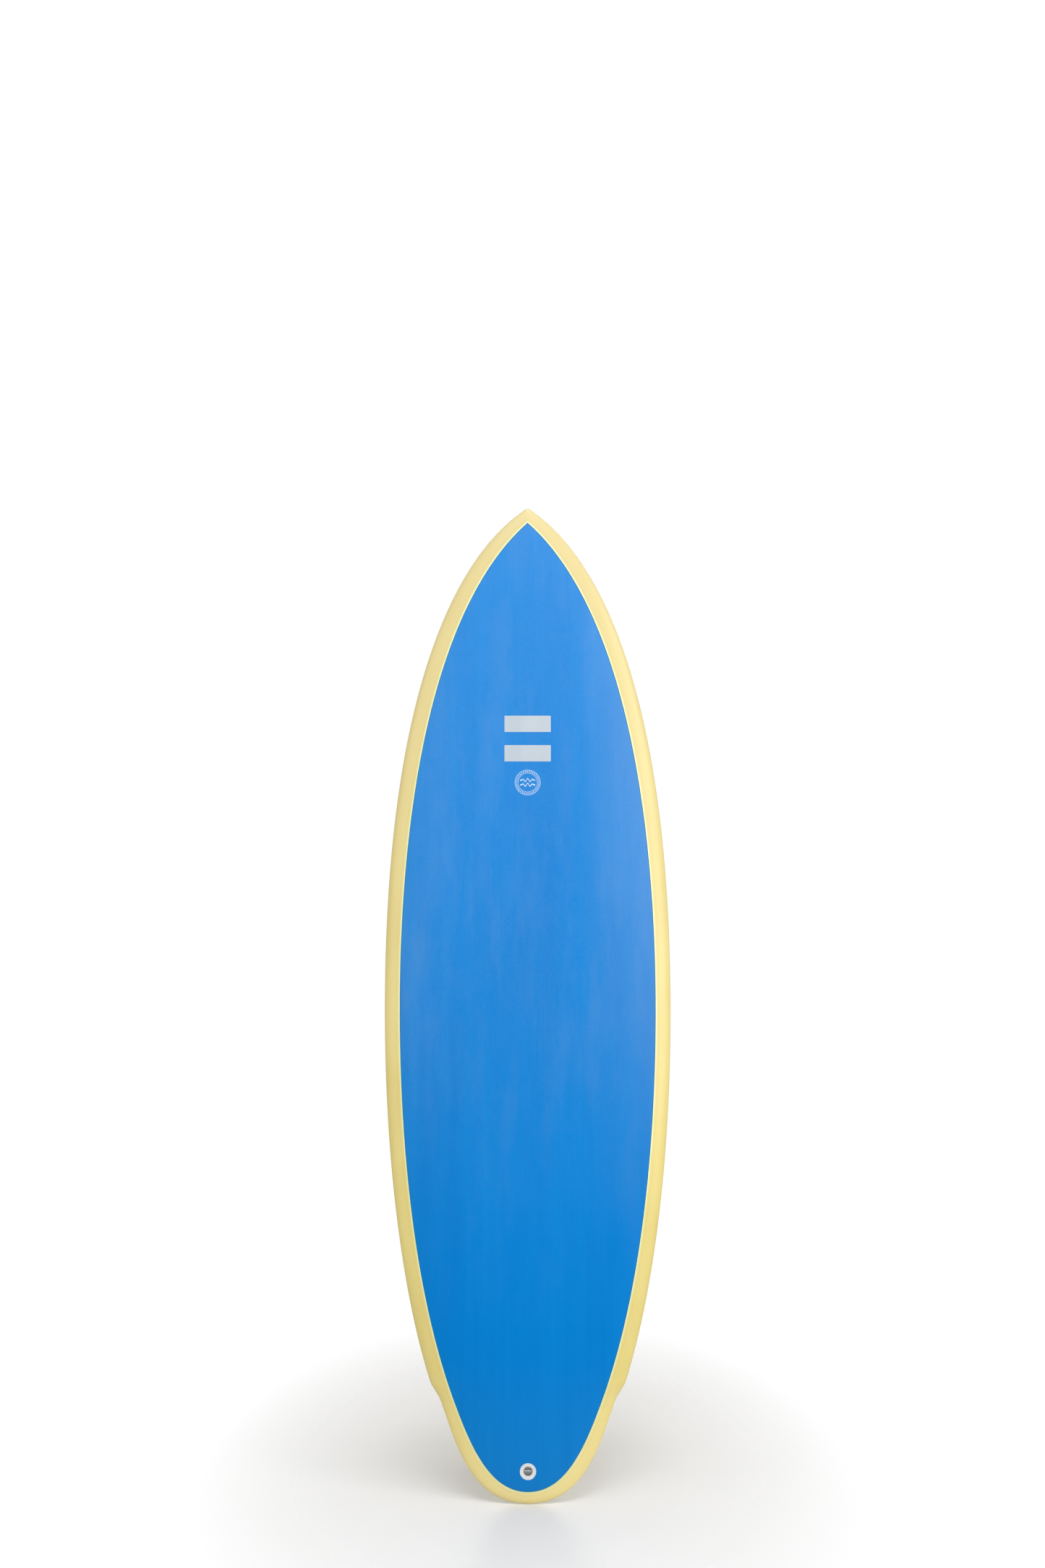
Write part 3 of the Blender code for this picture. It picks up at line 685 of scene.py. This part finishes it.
# ---------------------------------------------------------------- leash plug
def make_leash_plug():
    """The moulded cup with its rounded rim, and the steel bar across it."""
    axes = BOARD @ deck_frame(PLUG_STATION)
    rim, lip, foot = PLUG_RIM, CUP_LIP, CUP_FOOT
    profile = [(0, -CUP_DEPTH)]
    profile += fillet((CUP_RADIUS - foot, foot - CUP_DEPTH), foot, -90, 0, 8)
    profile += fillet((CUP_RADIUS + lip, -lip), lip, 180, 90, 6)
    profile += [(CUP_RADIUS + lip + out, height) for out, height in LIP_GROOVE]
    profile += fillet((PLUG_RADIUS - rim, -rim), rim, 90, 0, 5)
    profile += [(PLUG_RADIUS, -PLUG_FLANGE), (PLUG_BODY_RADIUS, -PLUG_FLANGE),
                (PLUG_BODY_RADIUS, foot - PLUG_DEPTH), (PLUG_BODY_RADIUS - foot, -PLUG_DEPTH),
                (0, -PLUG_DEPTH)]
    cup = new_object("leash_plug_cup", lathe("leash_plug_cup", profile, 96), axes)
    across = axes @ Matrix.Translation((0, 0, -BAR_DEPTH)) @ Matrix.Rotation(math.pi / 2, 4, "Y")
    half = BAR_LENGTH / 2
    bar_profile = [(0, half)] + fillet((BAR_RADIUS - rim, half - rim), rim, 90, 0)
    bar_profile += fillet((BAR_RADIUS - rim, rim - half), rim, 0, -90) + [(0, -half)]
    bar = new_object("leash_plug_bar", lathe("leash_plug_bar", bar_profile, 48), across)
    seat = new_object("bar_seat", cylinder_mesh("bar_seat", BAR_RADIUS + GAP, -half - GAP,
                      half + GAP), across)
    cut(cup, "DIFFERENCE", seat)
    shade(cup)
    shade(bar)
    return cup, bar


# ---------------------------------------------------------------- fins
def tab_centres():
    return {"front": TAB_SPACING / 2, "rear": -TAB_SPACING / 2}


def fin_axes():
    """For each fin, the axes of its box and of its slot, in the row frame."""
    frames = {}
    for name, (station, offset, side) in FIN_PLACES.items():
        recess = Matrix.Translation((0, -BOX_RECESS, 0))
        box = BOARD @ bottom_frame(station, side * offset, -side * TOE_IN) @ recess
        frames[name] = (box, box @ Matrix.Rotation(-side * CANT, 4, "Z"))
    return frames


def screw_axes(slot, middle, side):
    tip_x, tip_y = SCREW_TIP_AT
    tip = Matrix.Translation((side * tip_x, tip_y, middle))
    tilt = Matrix.Rotation(-side * SCREW_TILT, 4, "Z") @ Matrix.Rotation(-math.pi / 2, 4, "X")
    return slot @ tip @ tilt


def screw_side(side):
    return -1 if side > 0 else 1


def make_fin_box(name, box_axes, slot, side):
    """The moulded flange with its two tab wells and four walls, and the screws' holes."""
    mesh = rounded_prism("box", lambda inset: stadium(BOX_LENGTH, BOX_WIDTH, inset),
                         -BOX_FLANGE, 0, BOX_EDGE)
    box = new_object(f"fin_box_{name}_moulding", mesh, box_axes)
    wide, deep, long = BOX_BODY
    for middle in tab_centres().values():
        body = rounded_prism("body", lambda inset: rounded_rectangle(
            wide, long, BODY_CORNER, inset, middle), -deep, -BOX_FLANGE / 2, CRISP_EDGE)
        cut(box, "UNION", new_object("body", body, box_axes))
    for middle in tab_centres().values():
        wide, deep, long = POCKET
        well = rounded_prism("well", lambda inset: rounded_rectangle(
            wide, long, TAB_CORNER, inset, middle), -deep, CLEAR, CRISP_EDGE)
        hole = cylinder_mesh("hole", SCREW_RADIUS + GAP, -HOLE_BELOW_TIP, SCREW_LENGTH + CLEAR, 32)
        cut(box, "DIFFERENCE", new_object("well", well, slot),
            new_object("hole", hole, screw_axes(slot, middle, side)))
    shade(box)
    return box


def thread_radius(turn, height):
    """The screw's outer radius, with a helical groove that fades towards both ends."""
    phase = (height / SCREW_PITCH - turn / (2 * math.pi)) % 1
    groove = abs(2 * phase - 1)
    low, high = SCREW_TIP_LENGTH, SCREW_LENGTH - SCREW_CHAMFER
    fade = min(1, max(0, (height - low) / SCREW_PITCH), max(0, (high - height) / SCREW_PITCH))
    return SCREW_RADIUS - THREAD_DEPTH * groove * fade


def make_screw(name, axes, turns=32, rows=42):
    """A cone-point grub screw with a real thread and a hex socket."""
    low, high = SCREW_TIP_LENGTH, SCREW_LENGTH - SCREW_CHAMFER
    outline = [(SCREW_TIP_RADIUS, 0)]
    outline += [(None, low + (high - low) * i / rows) for i in range(rows + 1)]
    outline.append((SCREW_RADIUS - SCREW_CHAMFER, SCREW_LENGTH))
    rings = []
    for radius, height in outline:
        ring = []
        for i in range(turns):
            turn = 2 * math.pi * i / turns
            size = radius or thread_radius(turn, height)
            ring.append((size * math.cos(turn), size * math.sin(turn), height))
        rings.append(ring)
    screw = new_object(name, loft(name, rings), axes)
    socket = cylinder_mesh("socket", SOCKET_RADIUS, SCREW_LENGTH - SOCKET_DEPTH,
                           SCREW_LENGTH + CLEAR, 6)
    cut(screw, "DIFFERENCE", new_object("socket", socket, axes))
    shade(screw, 30)
    return screw


def foil(share, thick, flat):
    """Half thicknesses of a foil's two faces; share is 0 at its nose, 1 at its trailing edge."""
    swell = FOIL_FULLNESS * math.sqrt(share) * (1 - share) ** FOIL_TAPER * (1 - FOIL_LEAN * share)
    room = (thick / 2 - FIN_EDGE) * swell
    return FIN_EDGE + room, FIN_EDGE + room * flat


def round_off(level, start, least):
    """1 up to the start level, then falling along a quarter circle to the tip."""
    past = max(0, level - start) / (1 - start)
    return math.sqrt(max(least, 1 - past ** 2))


def fin_chord(level):
    """The fin's leading and trailing points at one level, drawn together into a round tip."""
    ends = bezier(FIN_LEADING, level), bezier(FIN_TRAILING, level)
    keep = round_off(level, FIN_TIP_ROUND, 0.004)
    middle = [(ends[0][k] + ends[1][k]) / 2 for k in (0, 1)]
    return [[middle[k] + (end[k] - middle[k]) * keep for k in (0, 1)] for end in ends]


def fin_section(level, thick, outer_side, flat, cant, steps=22):
    """One closed ring of points across the fin, at one level between base and tip."""
    leading, trailing = fin_chord(level)
    faces = ([], [])
    for i in range(steps + 1):
        share = (i / steps) ** FOIL_CROWDING
        z = leading[0] + (trailing[0] - leading[0]) * share
        y = leading[1] + (trailing[1] - leading[1]) * share
        outer, inner = foil(share, thick, flat)
        for face, x in ((faces[0], outer_side * outer), (faces[1], -outer_side * inner)):
            base = FIN_BASE_GAP + x * math.tan(cant) if level == 0 else y
            face.append((x, base, z))
    return faces[0] + faces[1][::-1]


def make_fin(name, slot, side, steps=44):
    """The blade with its two tabs; the leading edge and the tip are rounded."""
    flat = FIN_FLAT_SIDE if side else 1
    rings = []
    for step in range(steps + 1):
        level = math.sin(math.pi / 2 * step / steps)
        thinner = (FIN_BASE_THICKNESS - FIN_TIP_THICKNESS) * level ** FIN_THINNING
        thick = (FIN_BASE_THICKNESS - thinner) * round_off(level, FIN_TIP_THINS, 0.02)
        rings.append(fin_section(level, thick, side or 1, flat, side * CANT))
    fin = new_object(f"fin_{name}_blade", loft("fin", rings), slot)
    wide, deep, long = TAB
    for middle in tab_centres().values():
        tab = rounded_prism("tab", lambda inset: rounded_rectangle(
            wide, long, TAB_CORNER, inset, middle), -deep, TAB_TOP, CRISP_EDGE)
        cut(fin, "UNION", new_object("tab", tab, slot))
    shade(fin, 40)
    return fin


# ---------------------------------------------------------------- materials
def ramp(tree, value, start, end, low, high):
    """A value mapped from start..end to low..high, each a number or a socket."""
    node = tree.nodes.new("ShaderNodeMapRange")
    for name, given in (("Value", value), ("From Min", start), ("From Max", end),
                        ("To Min", low), ("To Max", high)):
        if isinstance(given, bpy.types.NodeSocket):
            tree.links.new(given, node.inputs[name])
        else:
            node.inputs[name].default_value = given
    return node.outputs["Result"]


class Shader:
    """A material being built, with short names for the nodes it uses."""

    def __init__(self, name):
        self.material = bpy.data.materials.new(name)
        self.material.use_nodes = True
        self.tree = self.material.node_tree
        self.surface = self.tree.nodes["Principled BSDF"]
        self.place = self.add("ShaderNodeTexCoord").outputs["Object"]

    def add(self, kind, **settings):
        node = self.tree.nodes.new(kind)
        for key, value in settings.items():
            setattr(node, key, value)
        return node

    def feed(self, socket, value):
        if isinstance(value, bpy.types.NodeSocket):
            self.tree.links.new(value, socket)
        else:
            socket.default_value = (*value, 1) if isinstance(value, tuple) and len(value) == 3 \
                and socket.type == "RGBA" else value

    def set(self, **values):
        """Sets the surface's inputs; an underscore in a name stands for a space."""
        for name, value in values.items():
            self.feed(self.surface.inputs[name.replace("_", " ")], value)

    def noise(self, scale, stretch=(1, 1, 1), detail=3.0, roughness=0.5, low=0.35, high=0.65):
        """Noise between 0 and 1; stretch multiplies the pattern's scale along each axis."""
        mapping = self.add("ShaderNodeMapping")
        mapping.inputs["Scale"].default_value = stretch
        self.tree.links.new(self.place, mapping.inputs["Vector"])
        texture = self.add("ShaderNodeTexNoise")
        self.tree.links.new(mapping.outputs["Vector"], texture.inputs["Vector"])
        texture.inputs["Scale"].default_value = scale
        texture.inputs["Detail"].default_value = detail
        texture.inputs["Roughness"].default_value = roughness
        return self.remap(texture.outputs["Fac"], low, high, 0, 1)

    def remap(self, value, low, high, to_low, to_high):
        return ramp(self.tree, value, low, high, to_low, to_high)

    def between(self, share, low, high):
        return self.remap(share, 0, 1, low, high)

    def math(self, operation, first, second=0.0):
        node = self.add("ShaderNodeMath", operation=operation)
        self.feed(node.inputs[0], first)
        self.feed(node.inputs[1], second)
        return node.outputs["Value"]

    def mix(self, share, first, second, blend="MIX"):
        node = self.add("ShaderNodeMix", data_type="RGBA", blend_type=blend)
        self.feed(node.inputs[0], share)
        self.feed(node.inputs[6], first)
        self.feed(node.inputs[7], second)
        return node.outputs[2]

    def over(self, colour, mask, strength, tint):
        """Lays a tint over a colour where a mask is high."""
        return self.mix(self.math("MULTIPLY", mask, strength), colour, tint)

    def attribute(self, name):
        return self.add("ShaderNodeAttribute", attribute_name=name).outputs["Fac"]

    def axis(self, name):
        split = self.add("ShaderNodeSeparateXYZ")
        self.tree.links.new(self.place, split.inputs["Vector"])
        return split.outputs[name]

    def bump(self, height, strength, distance):
        node = self.add("ShaderNodeBump")
        node.inputs["Strength"].default_value = strength
        node.inputs["Distance"].default_value = distance
        self.feed(node.inputs["Height"], height)
        self.feed(self.surface.inputs["Normal"], node.outputs["Normal"])


def cloth_weave(shader, pitch=0.0016):
    """Plain-weave cloth under the resin: crossed waves along x and z."""
    turns = 2 * math.pi / pitch
    across = shader.math("SINE", shader.math("MULTIPLY", shader.axis("X"), turns))
    along = shader.math("SINE", shader.math("MULTIPLY", shader.axis("Z"), turns))
    return shader.math("MULTIPLY", across, along)


def blue_resin():
    """Blue-tinted cloth under a sanded coat, with long streaks, and a painted reflection of the
    bright surroundings: paler towards the nose, along the rails (more on the right) and at the tail
    tip.
    """
    shader = Shader("blue_tinted_resin")
    broad = shader.noise(2.2, (2.2, 1, 0.7), 4)
    streaks = shader.noise(1, (34, 1, 1.3), 5, 0.6)
    wisps = shader.noise(1, (120, 1, 3.5), 4, 0.6)
    grain = shader.noise(1, (300, 1, 210), 2, 0.6)
    colour = shader.mix(broad, (0.0, 0.186, 0.570), (0.001, 0.217, 0.628))
    colour = shader.over(colour, streaks, 0.35, (0.003, 0.240, 0.640))
    colour = shader.over(colour, wisps, 0.20, (0.0, 0.160, 0.510))
    colour = shader.over(colour, grain, 0.26, (0.0, 0.165, 0.510))
    # Painted reflection: a pale chalky blue laid over the colour towards the nose, along both rails
    # (more on the right, towards the key light) and at the tail tip, made patchy by noise.
    height = shader.remap(shader.axis("Z"), 0.45, 1.75, 0, 1.3)
    patches = shader.noise(1, (17, 1, 3.2), 6, 0.68, 0.46, 0.70)
    mottle = shader.noise(34, (1, 1, 0.6), 6, 0.75)
    specks = shader.noise(1, (330, 1, 240), 2, 0.6)
    gloss_and_sheen_patches = shader.mix(0.42, patches, shader.mix(0.5, mottle, specks))
    rail_sheen = shader.math("ADD", shader.remap(shader.axis("X"), -0.25, -0.12, 0.08, 0),
                       shader.remap(shader.axis("X"), 0.10, 0.25, 0, 0.30))
    even = shader.math("MULTIPLY", height, shader.math("ADD", rail_sheen, 0.08))
    even = shader.math("ADD", even, shader.remap(shader.axis("Z"), 0.05, 0.25, 0.025, 0))
    patchy_sheen = shader.math("MULTIPLY", gloss_and_sheen_patches, shader.remap(shader.axis("Z"), 0.30, 0.90, 0, 0.15))
    colour = shader.mix(shader.math("ADD", even, patchy_sheen), colour, (0.25, 0.36, 0.58))
    weave = shader.remap(cloth_weave(shader), -1, 1, 0, 0.10)
    colour = shader.mix(weave, colour, (0.0, 0.26, 0.68))
    seam = shader.remap(shader.attribute("edge_distance"), 0.0005, 0.0018, 0.9, 0)
    colour = shader.mix(seam, colour, (0.014, 0.130, 0.230))
    sanding = shader.noise(1, (900, 300, 26), 3, 0.6)
    # The same noise patches also vary the roughness.
    rough = shader.math("ADD", shader.between(gloss_and_sheen_patches, 0.33, 0.43),
                        shader.math("MULTIPLY", sanding, 0.05))
    shader.set(Base_Color=colour, Roughness=rough, IOR=1.5, Specular_IOR_Level=0.08)
    shader.bump(sanding, 0.10, 0.00012)
    return shader.material


def yellow_resin():
    """Pale yellow tinted cloth, cloudier where the resin pooled, with the lap's edge."""
    shader = Shader("yellow_tinted_resin")
    broad = shader.noise(3.0, (1, 1, 1.2), 4)
    pools = shader.noise(1, (26, 26, 5), 5, 0.6)
    colour = shader.mix(broad, (0.700, 0.568, 0.172), (0.775, 0.648, 0.228))
    colour = shader.over(colour, pools, 0.22, (0.830, 0.710, 0.310))
    nose = shader.remap(shader.axis("Z"), 0.60, 1.85, 0, 0.9)
    colour = shader.mix(nose, colour, (0.655, 0.550, 0.280))
    tail = shader.remap(shader.axis("Z"), 0.02, 0.24, 1, 0)
    colour = shader.mix(tail, colour, (0.920, 0.775, 0.330))
    weave = shader.remap(cloth_weave(shader), -1, 1, 0, 0.06)
    colour = shader.mix(weave, colour, (0.64, 0.48, 0.16))
    edge = shader.attribute("edge_distance")
    ridge = shader.math("ABSOLUTE", shader.math("SUBTRACT", edge, LAP_EDGE))
    line = shader.remap(ridge, 0.0, 0.0006, 0.28, 0)
    colour = shader.mix(line, colour, (0.42, 0.38, 0.24))
    sanding = shader.noise(1, (500, 500, 30), 3, 0.6)
    rough = shader.math("ADD", shader.between(pools, 0.30, 0.38),
                        shader.math("MULTIPLY", sanding, 0.05))
    shader.set(Base_Color=colour, Roughness=rough, IOR=1.5, Specular_IOR_Level=0.35)
    shader.bump(sanding, 0.10, 0.00012)
    return shader.material


def pinline_resin():
    shader = Shader("pinline_resin")
    drift = shader.noise(40, detail=3)
    colour = shader.mix(drift, (0.690, 0.780, 0.410), (0.770, 0.815, 0.480))
    shader.set(Base_Color=colour, Roughness=shader.between(drift, 0.30, 0.36), IOR=1.5)
    return shader.material


def deck_graphic():
    """Pale print under the coat: the cloth and a little blue show through."""
    shader = Shader("deck_graphic")
    drift = shader.noise(1, (40, 1, 6), 4)
    colour = shader.mix(drift, (0.455, 0.512, 0.560), (0.478, 0.530, 0.575))
    weave = shader.remap(cloth_weave(shader), -1, 1, 0, 0.12)
    colour = shader.mix(weave, colour, (0.38, 0.52, 0.70))
    shader.set(Base_Color=colour, Roughness=shader.between(drift, 0.34, 0.42), IOR=1.5)
    return shader.material


def emblem_print():
    shader = Shader("emblem_print")
    drift = shader.noise(260, detail=3)
    colour = shader.mix(drift, (0.440, 0.590, 0.780), (0.560, 0.680, 0.830))
    shader.set(Base_Color=colour, Roughness=shader.between(drift, 0.34, 0.42), IOR=1.5)
    return shader.material


def moulded_plastic(name, dark, light, roughness, grain=900):
    """Injection-moulded plastic: fine spark grain and slight shading of the colour."""
    shader = Shader(name)
    drift = shader.noise(60, detail=4)
    pebbles = shader.noise(grain, (1, 1, 1), 3)
    shader.set(Base_Color=shader.mix(drift, dark, light),
               Roughness=shader.between(pebbles, roughness - 0.05, roughness + 0.05), IOR=1.48)
    shader.bump(pebbles, 0.12, 0.00006)
    return shader.material


def brushed_steel():
    shader = Shader("stainless_steel")
    lines = shader.noise(1, (500, 4000, 4000), 3)
    smudge = shader.noise(180, detail=3)
    colour = shader.mix(smudge, (0.36, 0.37, 0.38), (0.45, 0.46, 0.47))
    rough = shader.math("ADD", shader.between(smudge, 0.18, 0.28),
                        shader.math("MULTIPLY", lines, 0.08))
    shader.set(Base_Color=colour, Roughness=rough, Metallic=1.0)
    shader.bump(lines, 0.04, 0.00002)
    return shader.material


def fin_laminate():
    """Solid fibreglass fins: cloth weave, and contour lines where sanding cut through plies."""
    shader = Shader("fin_composite")
    depth = shader.attribute("ply_depth")
    wander = shader.math("MULTIPLY", shader.noise(30, detail=3), 0.00012)
    plies = shader.math("MULTIPLY", shader.math("ADD", depth, wander), PLY_WAVE)
    plies = shader.math("SINE", plies)
    cloud = shader.noise(18, detail=4)
    colour = shader.mix(cloud, (0.045, 0.150, 0.330), (0.080, 0.220, 0.430))
    colour = shader.mix(shader.remap(plies, -0.2, 1, 0, 0.18), colour, (0.16, 0.34, 0.54))
    weave = shader.remap(cloth_weave(shader, 0.0020), -1, 1, 0, 0.12)
    colour = shader.mix(weave, colour, (0.22, 0.40, 0.60))
    shader.set(Base_Color=colour, Roughness=shader.between(cloud, 0.20, 0.30), IOR=1.5)
    return shader.material


def foam(name, dark, light, cell):
    """Machined foam: open cells, and faint broad darker patches."""
    shader = Shader(name)
    cells = shader.noise(cell, (1, 1, 1), 4, 0.7)
    broad = shader.noise(6, detail=3)
    colour = shader.over(light, cells, 0.7, dark)
    colour = shader.over(colour, broad, 0.3, dark)
    shader.set(Base_Color=colour, Roughness=shader.between(cells, 0.82, 0.95))
    shader.bump(cells, 0.5, 0.0003)
    return shader.material


def stringer_wood():
    """Light basswood, its grain running along the board."""
    shader = Shader("stringer_wood")
    rings = shader.noise(1, (120, 160, 2.2), 5, 0.6)
    pores = shader.noise(1, (900, 900, 30), 3)
    colour = shader.mix(rings, (0.44, 0.27, 0.13), (0.62, 0.43, 0.24))
    colour = shader.over(colour, pores, 0.35, (0.33, 0.19, 0.09))
    shader.set(Base_Color=colour, Roughness=shader.between(pores, 0.6, 0.75))
    shader.bump(pores, 0.25, 0.0001)
    return shader.material


def potting_resin():
    """Clear casting resin with small bubbles, yellowed a little."""
    shader = Shader("potting_resin")
    bubbles = shader.noise(700, (1, 1, 1), 2, 0.5, 0.6, 0.75)
    cloud = shader.noise(30, detail=3)
    colour = shader.mix(cloud, (0.66, 0.65, 0.56), (0.74, 0.72, 0.62))
    colour = shader.over(colour, bubbles, 0.4, (0.88, 0.88, 0.84))
    shader.set(Base_Color=colour, Roughness=shader.between(cloud, 0.12, 0.2), IOR=1.54)
    return shader.material


def make_materials():
    return {
        "blue_tinted_resin": blue_resin(),
        "yellow_tinted_resin": yellow_resin(),
        "pinline_resin": pinline_resin(),
        "deck_graphic": deck_graphic(),
        "emblem_print": emblem_print(),
        "white_moulding": moulded_plastic("white_moulding", (0.70, 0.72, 0.71),
                                          (0.80, 0.81, 0.80), 0.34),
        "black_moulding": moulded_plastic("black_moulding", (0.016, 0.016, 0.018),
                                          (0.034, 0.034, 0.036), 0.48),
        "stainless_steel": brushed_steel(),
        "fin_composite": fin_laminate(),
        "blank_foam": foam("blank_foam", (0.80, 0.79, 0.72), (0.90, 0.89, 0.84), 900),
        "dense_foam": foam("dense_foam", (0.50, 0.44, 0.30), (0.66, 0.60, 0.45), 1500),
        "stringer_wood": stringer_wood(),
        "potting_resin": potting_resin(),
    }


# ---------------------------------------------------------------- assembly
def dress(obj, material, body, *nodes, slot=None):
    """Gives a piece its material and body, and hides the CAD nodes it stands for; the slot it is
    given is not used.
    """
    slot = slot or material
    obj.data.materials.clear()
    obj.data.materials.append(materials[material])
    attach(obj, body)
    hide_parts(*nodes)


def record_ply_depth(fin, slot):
    """Stores each point's distance from the fin's middle plane, for the ply lines."""
    to_slot = slot.inverted()
    depth = fin.data.attributes.new("ply_depth", "FLOAT", "POINT")
    depth.data.foreach_set("value", [abs((to_slot @ v.co).x) for v in fin.data.vertices])


def build_board():
    dress(make_inlay(), "blue_tinted_resin", "board", "deck_laminate")
    dress(make_pinline(), "pinline_resin", "board", "pinline")
    dress(make_wrap(), "yellow_tinted_resin", "board", "rail_and_bottom_laminate")
    for name, station in STRIPE_STATIONS.items():
        dress(make_stripe(name, station), "deck_graphic", "board", name)
    for piece in make_emblem():
        dress(piece, "emblem_print", "board", "emblem", slot="deck_graphic")
    cup, bar = make_leash_plug()
    dress(cup, "white_moulding", "board", "leash_cup")
    dress(bar, "stainless_steel", "board", "leash_bar")


def build_fins():
    for name, (_, _, side) in FIN_PLACES.items():
        box_axes, slot = fin_frames[name]
        box = make_fin_box(name, box_axes, slot, screw_side(side))
        dress(box, "black_moulding", "board", f"fin_box_{name}")
        fin = make_fin(name, slot, side)
        record_ply_depth(fin, slot)
        dress(fin, "fin_composite", f"fin_{name}", f"fin_{name}")
        for end, middle in tab_centres().items():
            node = f"grub_screw_{name}_{end}"
            screw = make_screw(f"{node}_threaded", screw_axes(slot, middle, screw_side(side)))
            dress(screw, "stainless_steel", node, node)


def dress_cad_nodes():
    """The pieces inside the board keep their CAD shapes, with finished materials."""
    inside = {"stringer": "stringer_wood", "leash_plug_potting": "potting_resin"}
    inside.update({f"foam_core_{side}": "blank_foam" for side in ("left", "right")})
    inside.update({f"fin_box_foam_{name}": "dense_foam" for name in FIN_PLACES})
    for node, material in inside.items():
        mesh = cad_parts[node].data
        mesh.materials.clear()
        mesh.materials.append(materials[material])


# ---------------------------------------------------------------- stage
def make_camera():
    data = bpy.data.cameras.new("camera")
    data.lens = CAMERA_LENS
    camera = add_object("camera", data)
    camera.location = CAMERA_AT
    camera.rotation_euler = (math.pi / 2, 0, 0)
    bpy.context.scene.camera = camera


def make_floor():
    """A pale grey floor that fades into the white surroundings away from the board: a real floor,
    and a painted soft shade that shows only round the board's foot.
    """
    bm = bmesh.new()
    bmesh.ops.create_circle(bm, cap_ends=True, segments=96, radius=FLOOR_RADIUS,
                            matrix=Matrix.Translation((0, 0, -FLOOR_SINK)))
    floor = new_object("floor", finish_mesh(bm, "floor"), Matrix())
    shader = Shader("floor_paint")
    marks = shader.noise(3, detail=5)
    spread = shader.add("ShaderNodeMapping", vector_type="TEXTURE")
    spread.inputs["Location"].default_value = FLOOR_SHADE_MIDDLE
    spread.inputs["Scale"].default_value = FLOOR_SHADE_STRETCH
    shader.tree.links.new(shader.place, spread.inputs["Vector"])
    away = shader.add("ShaderNodeVectorMath", operation="LENGTH")
    shader.tree.links.new(spread.outputs["Vector"], away.inputs[0])
    # The floor's grey base, seen only near the board because of the fade, is painted shade round
    # the board's foot.
    shader.set(Base_Color=shader.mix(marks, (0.675, 0.660, 0.635), (0.705, 0.690, 0.665)),
               Roughness=shader.between(marks, 0.5, 0.6),
               Alpha=shader.remap(away.outputs["Value"], *FLOOR_SHADE_FADE, 0.9, 0))
    floor.data.materials.append(shader.material)


def aim(obj, target):
    obj.rotation_euler = (Vector(target) - obj.location).to_track_quat("-Z", "Y").to_euler()


def make_light(name, place, target, size, power, spread=180):
    data = bpy.data.lights.new(name, "AREA")
    data.shape = "RECTANGLE"
    data.size, data.size_y = size
    data.energy = power
    data.spread = math.radians(spread)
    light = add_object(name, data)
    light.location = place
    aim(light, target)


def make_world():
    """White all round to the eye. As light, it is bright below the horizon in front of the
    board, dim just above it, and brighter overhead and behind.
    """
    world = bpy.data.worlds.new("studio")
    bpy.context.scene.world = world
    world.use_nodes = True
    tree = world.node_tree
    background = tree.nodes["Background"]
    background.inputs["Color"].default_value = (1, 1, 1, 1)
    way = tree.nodes.new("ShaderNodeTexCoord").outputs["Generated"]
    split = tree.nodes.new("ShaderNodeSeparateXYZ")
    tree.links.new(way, split.inputs["Vector"])
    above = ramp(tree, split.outputs["Z"], *OVERHEAD, WORLD_LOW, WORLD_HIGH)
    front = ramp(tree, split.outputs["Z"], *HORIZON, WORLD_BELOW, above)
    light = ramp(tree, split.outputs["Y"], *SIDES, front, WORLD_BEHIND)
    eye = tree.nodes.new("ShaderNodeLightPath").outputs["Is Camera Ray"]
    tree.links.new(ramp(tree, eye, 0, 1, light, 1.0), background.inputs["Strength"])


def make_stage():
    make_camera()
    make_floor()
    make_world()
    for name, light in LIGHTS.items():
        make_light(name, **light)
    bpy.context.scene.view_settings.view_transform = "Standard"


materials = make_materials()
fin_frames = fin_axes()
make_stage()
build_board()
build_fins()
dress_cad_nodes()
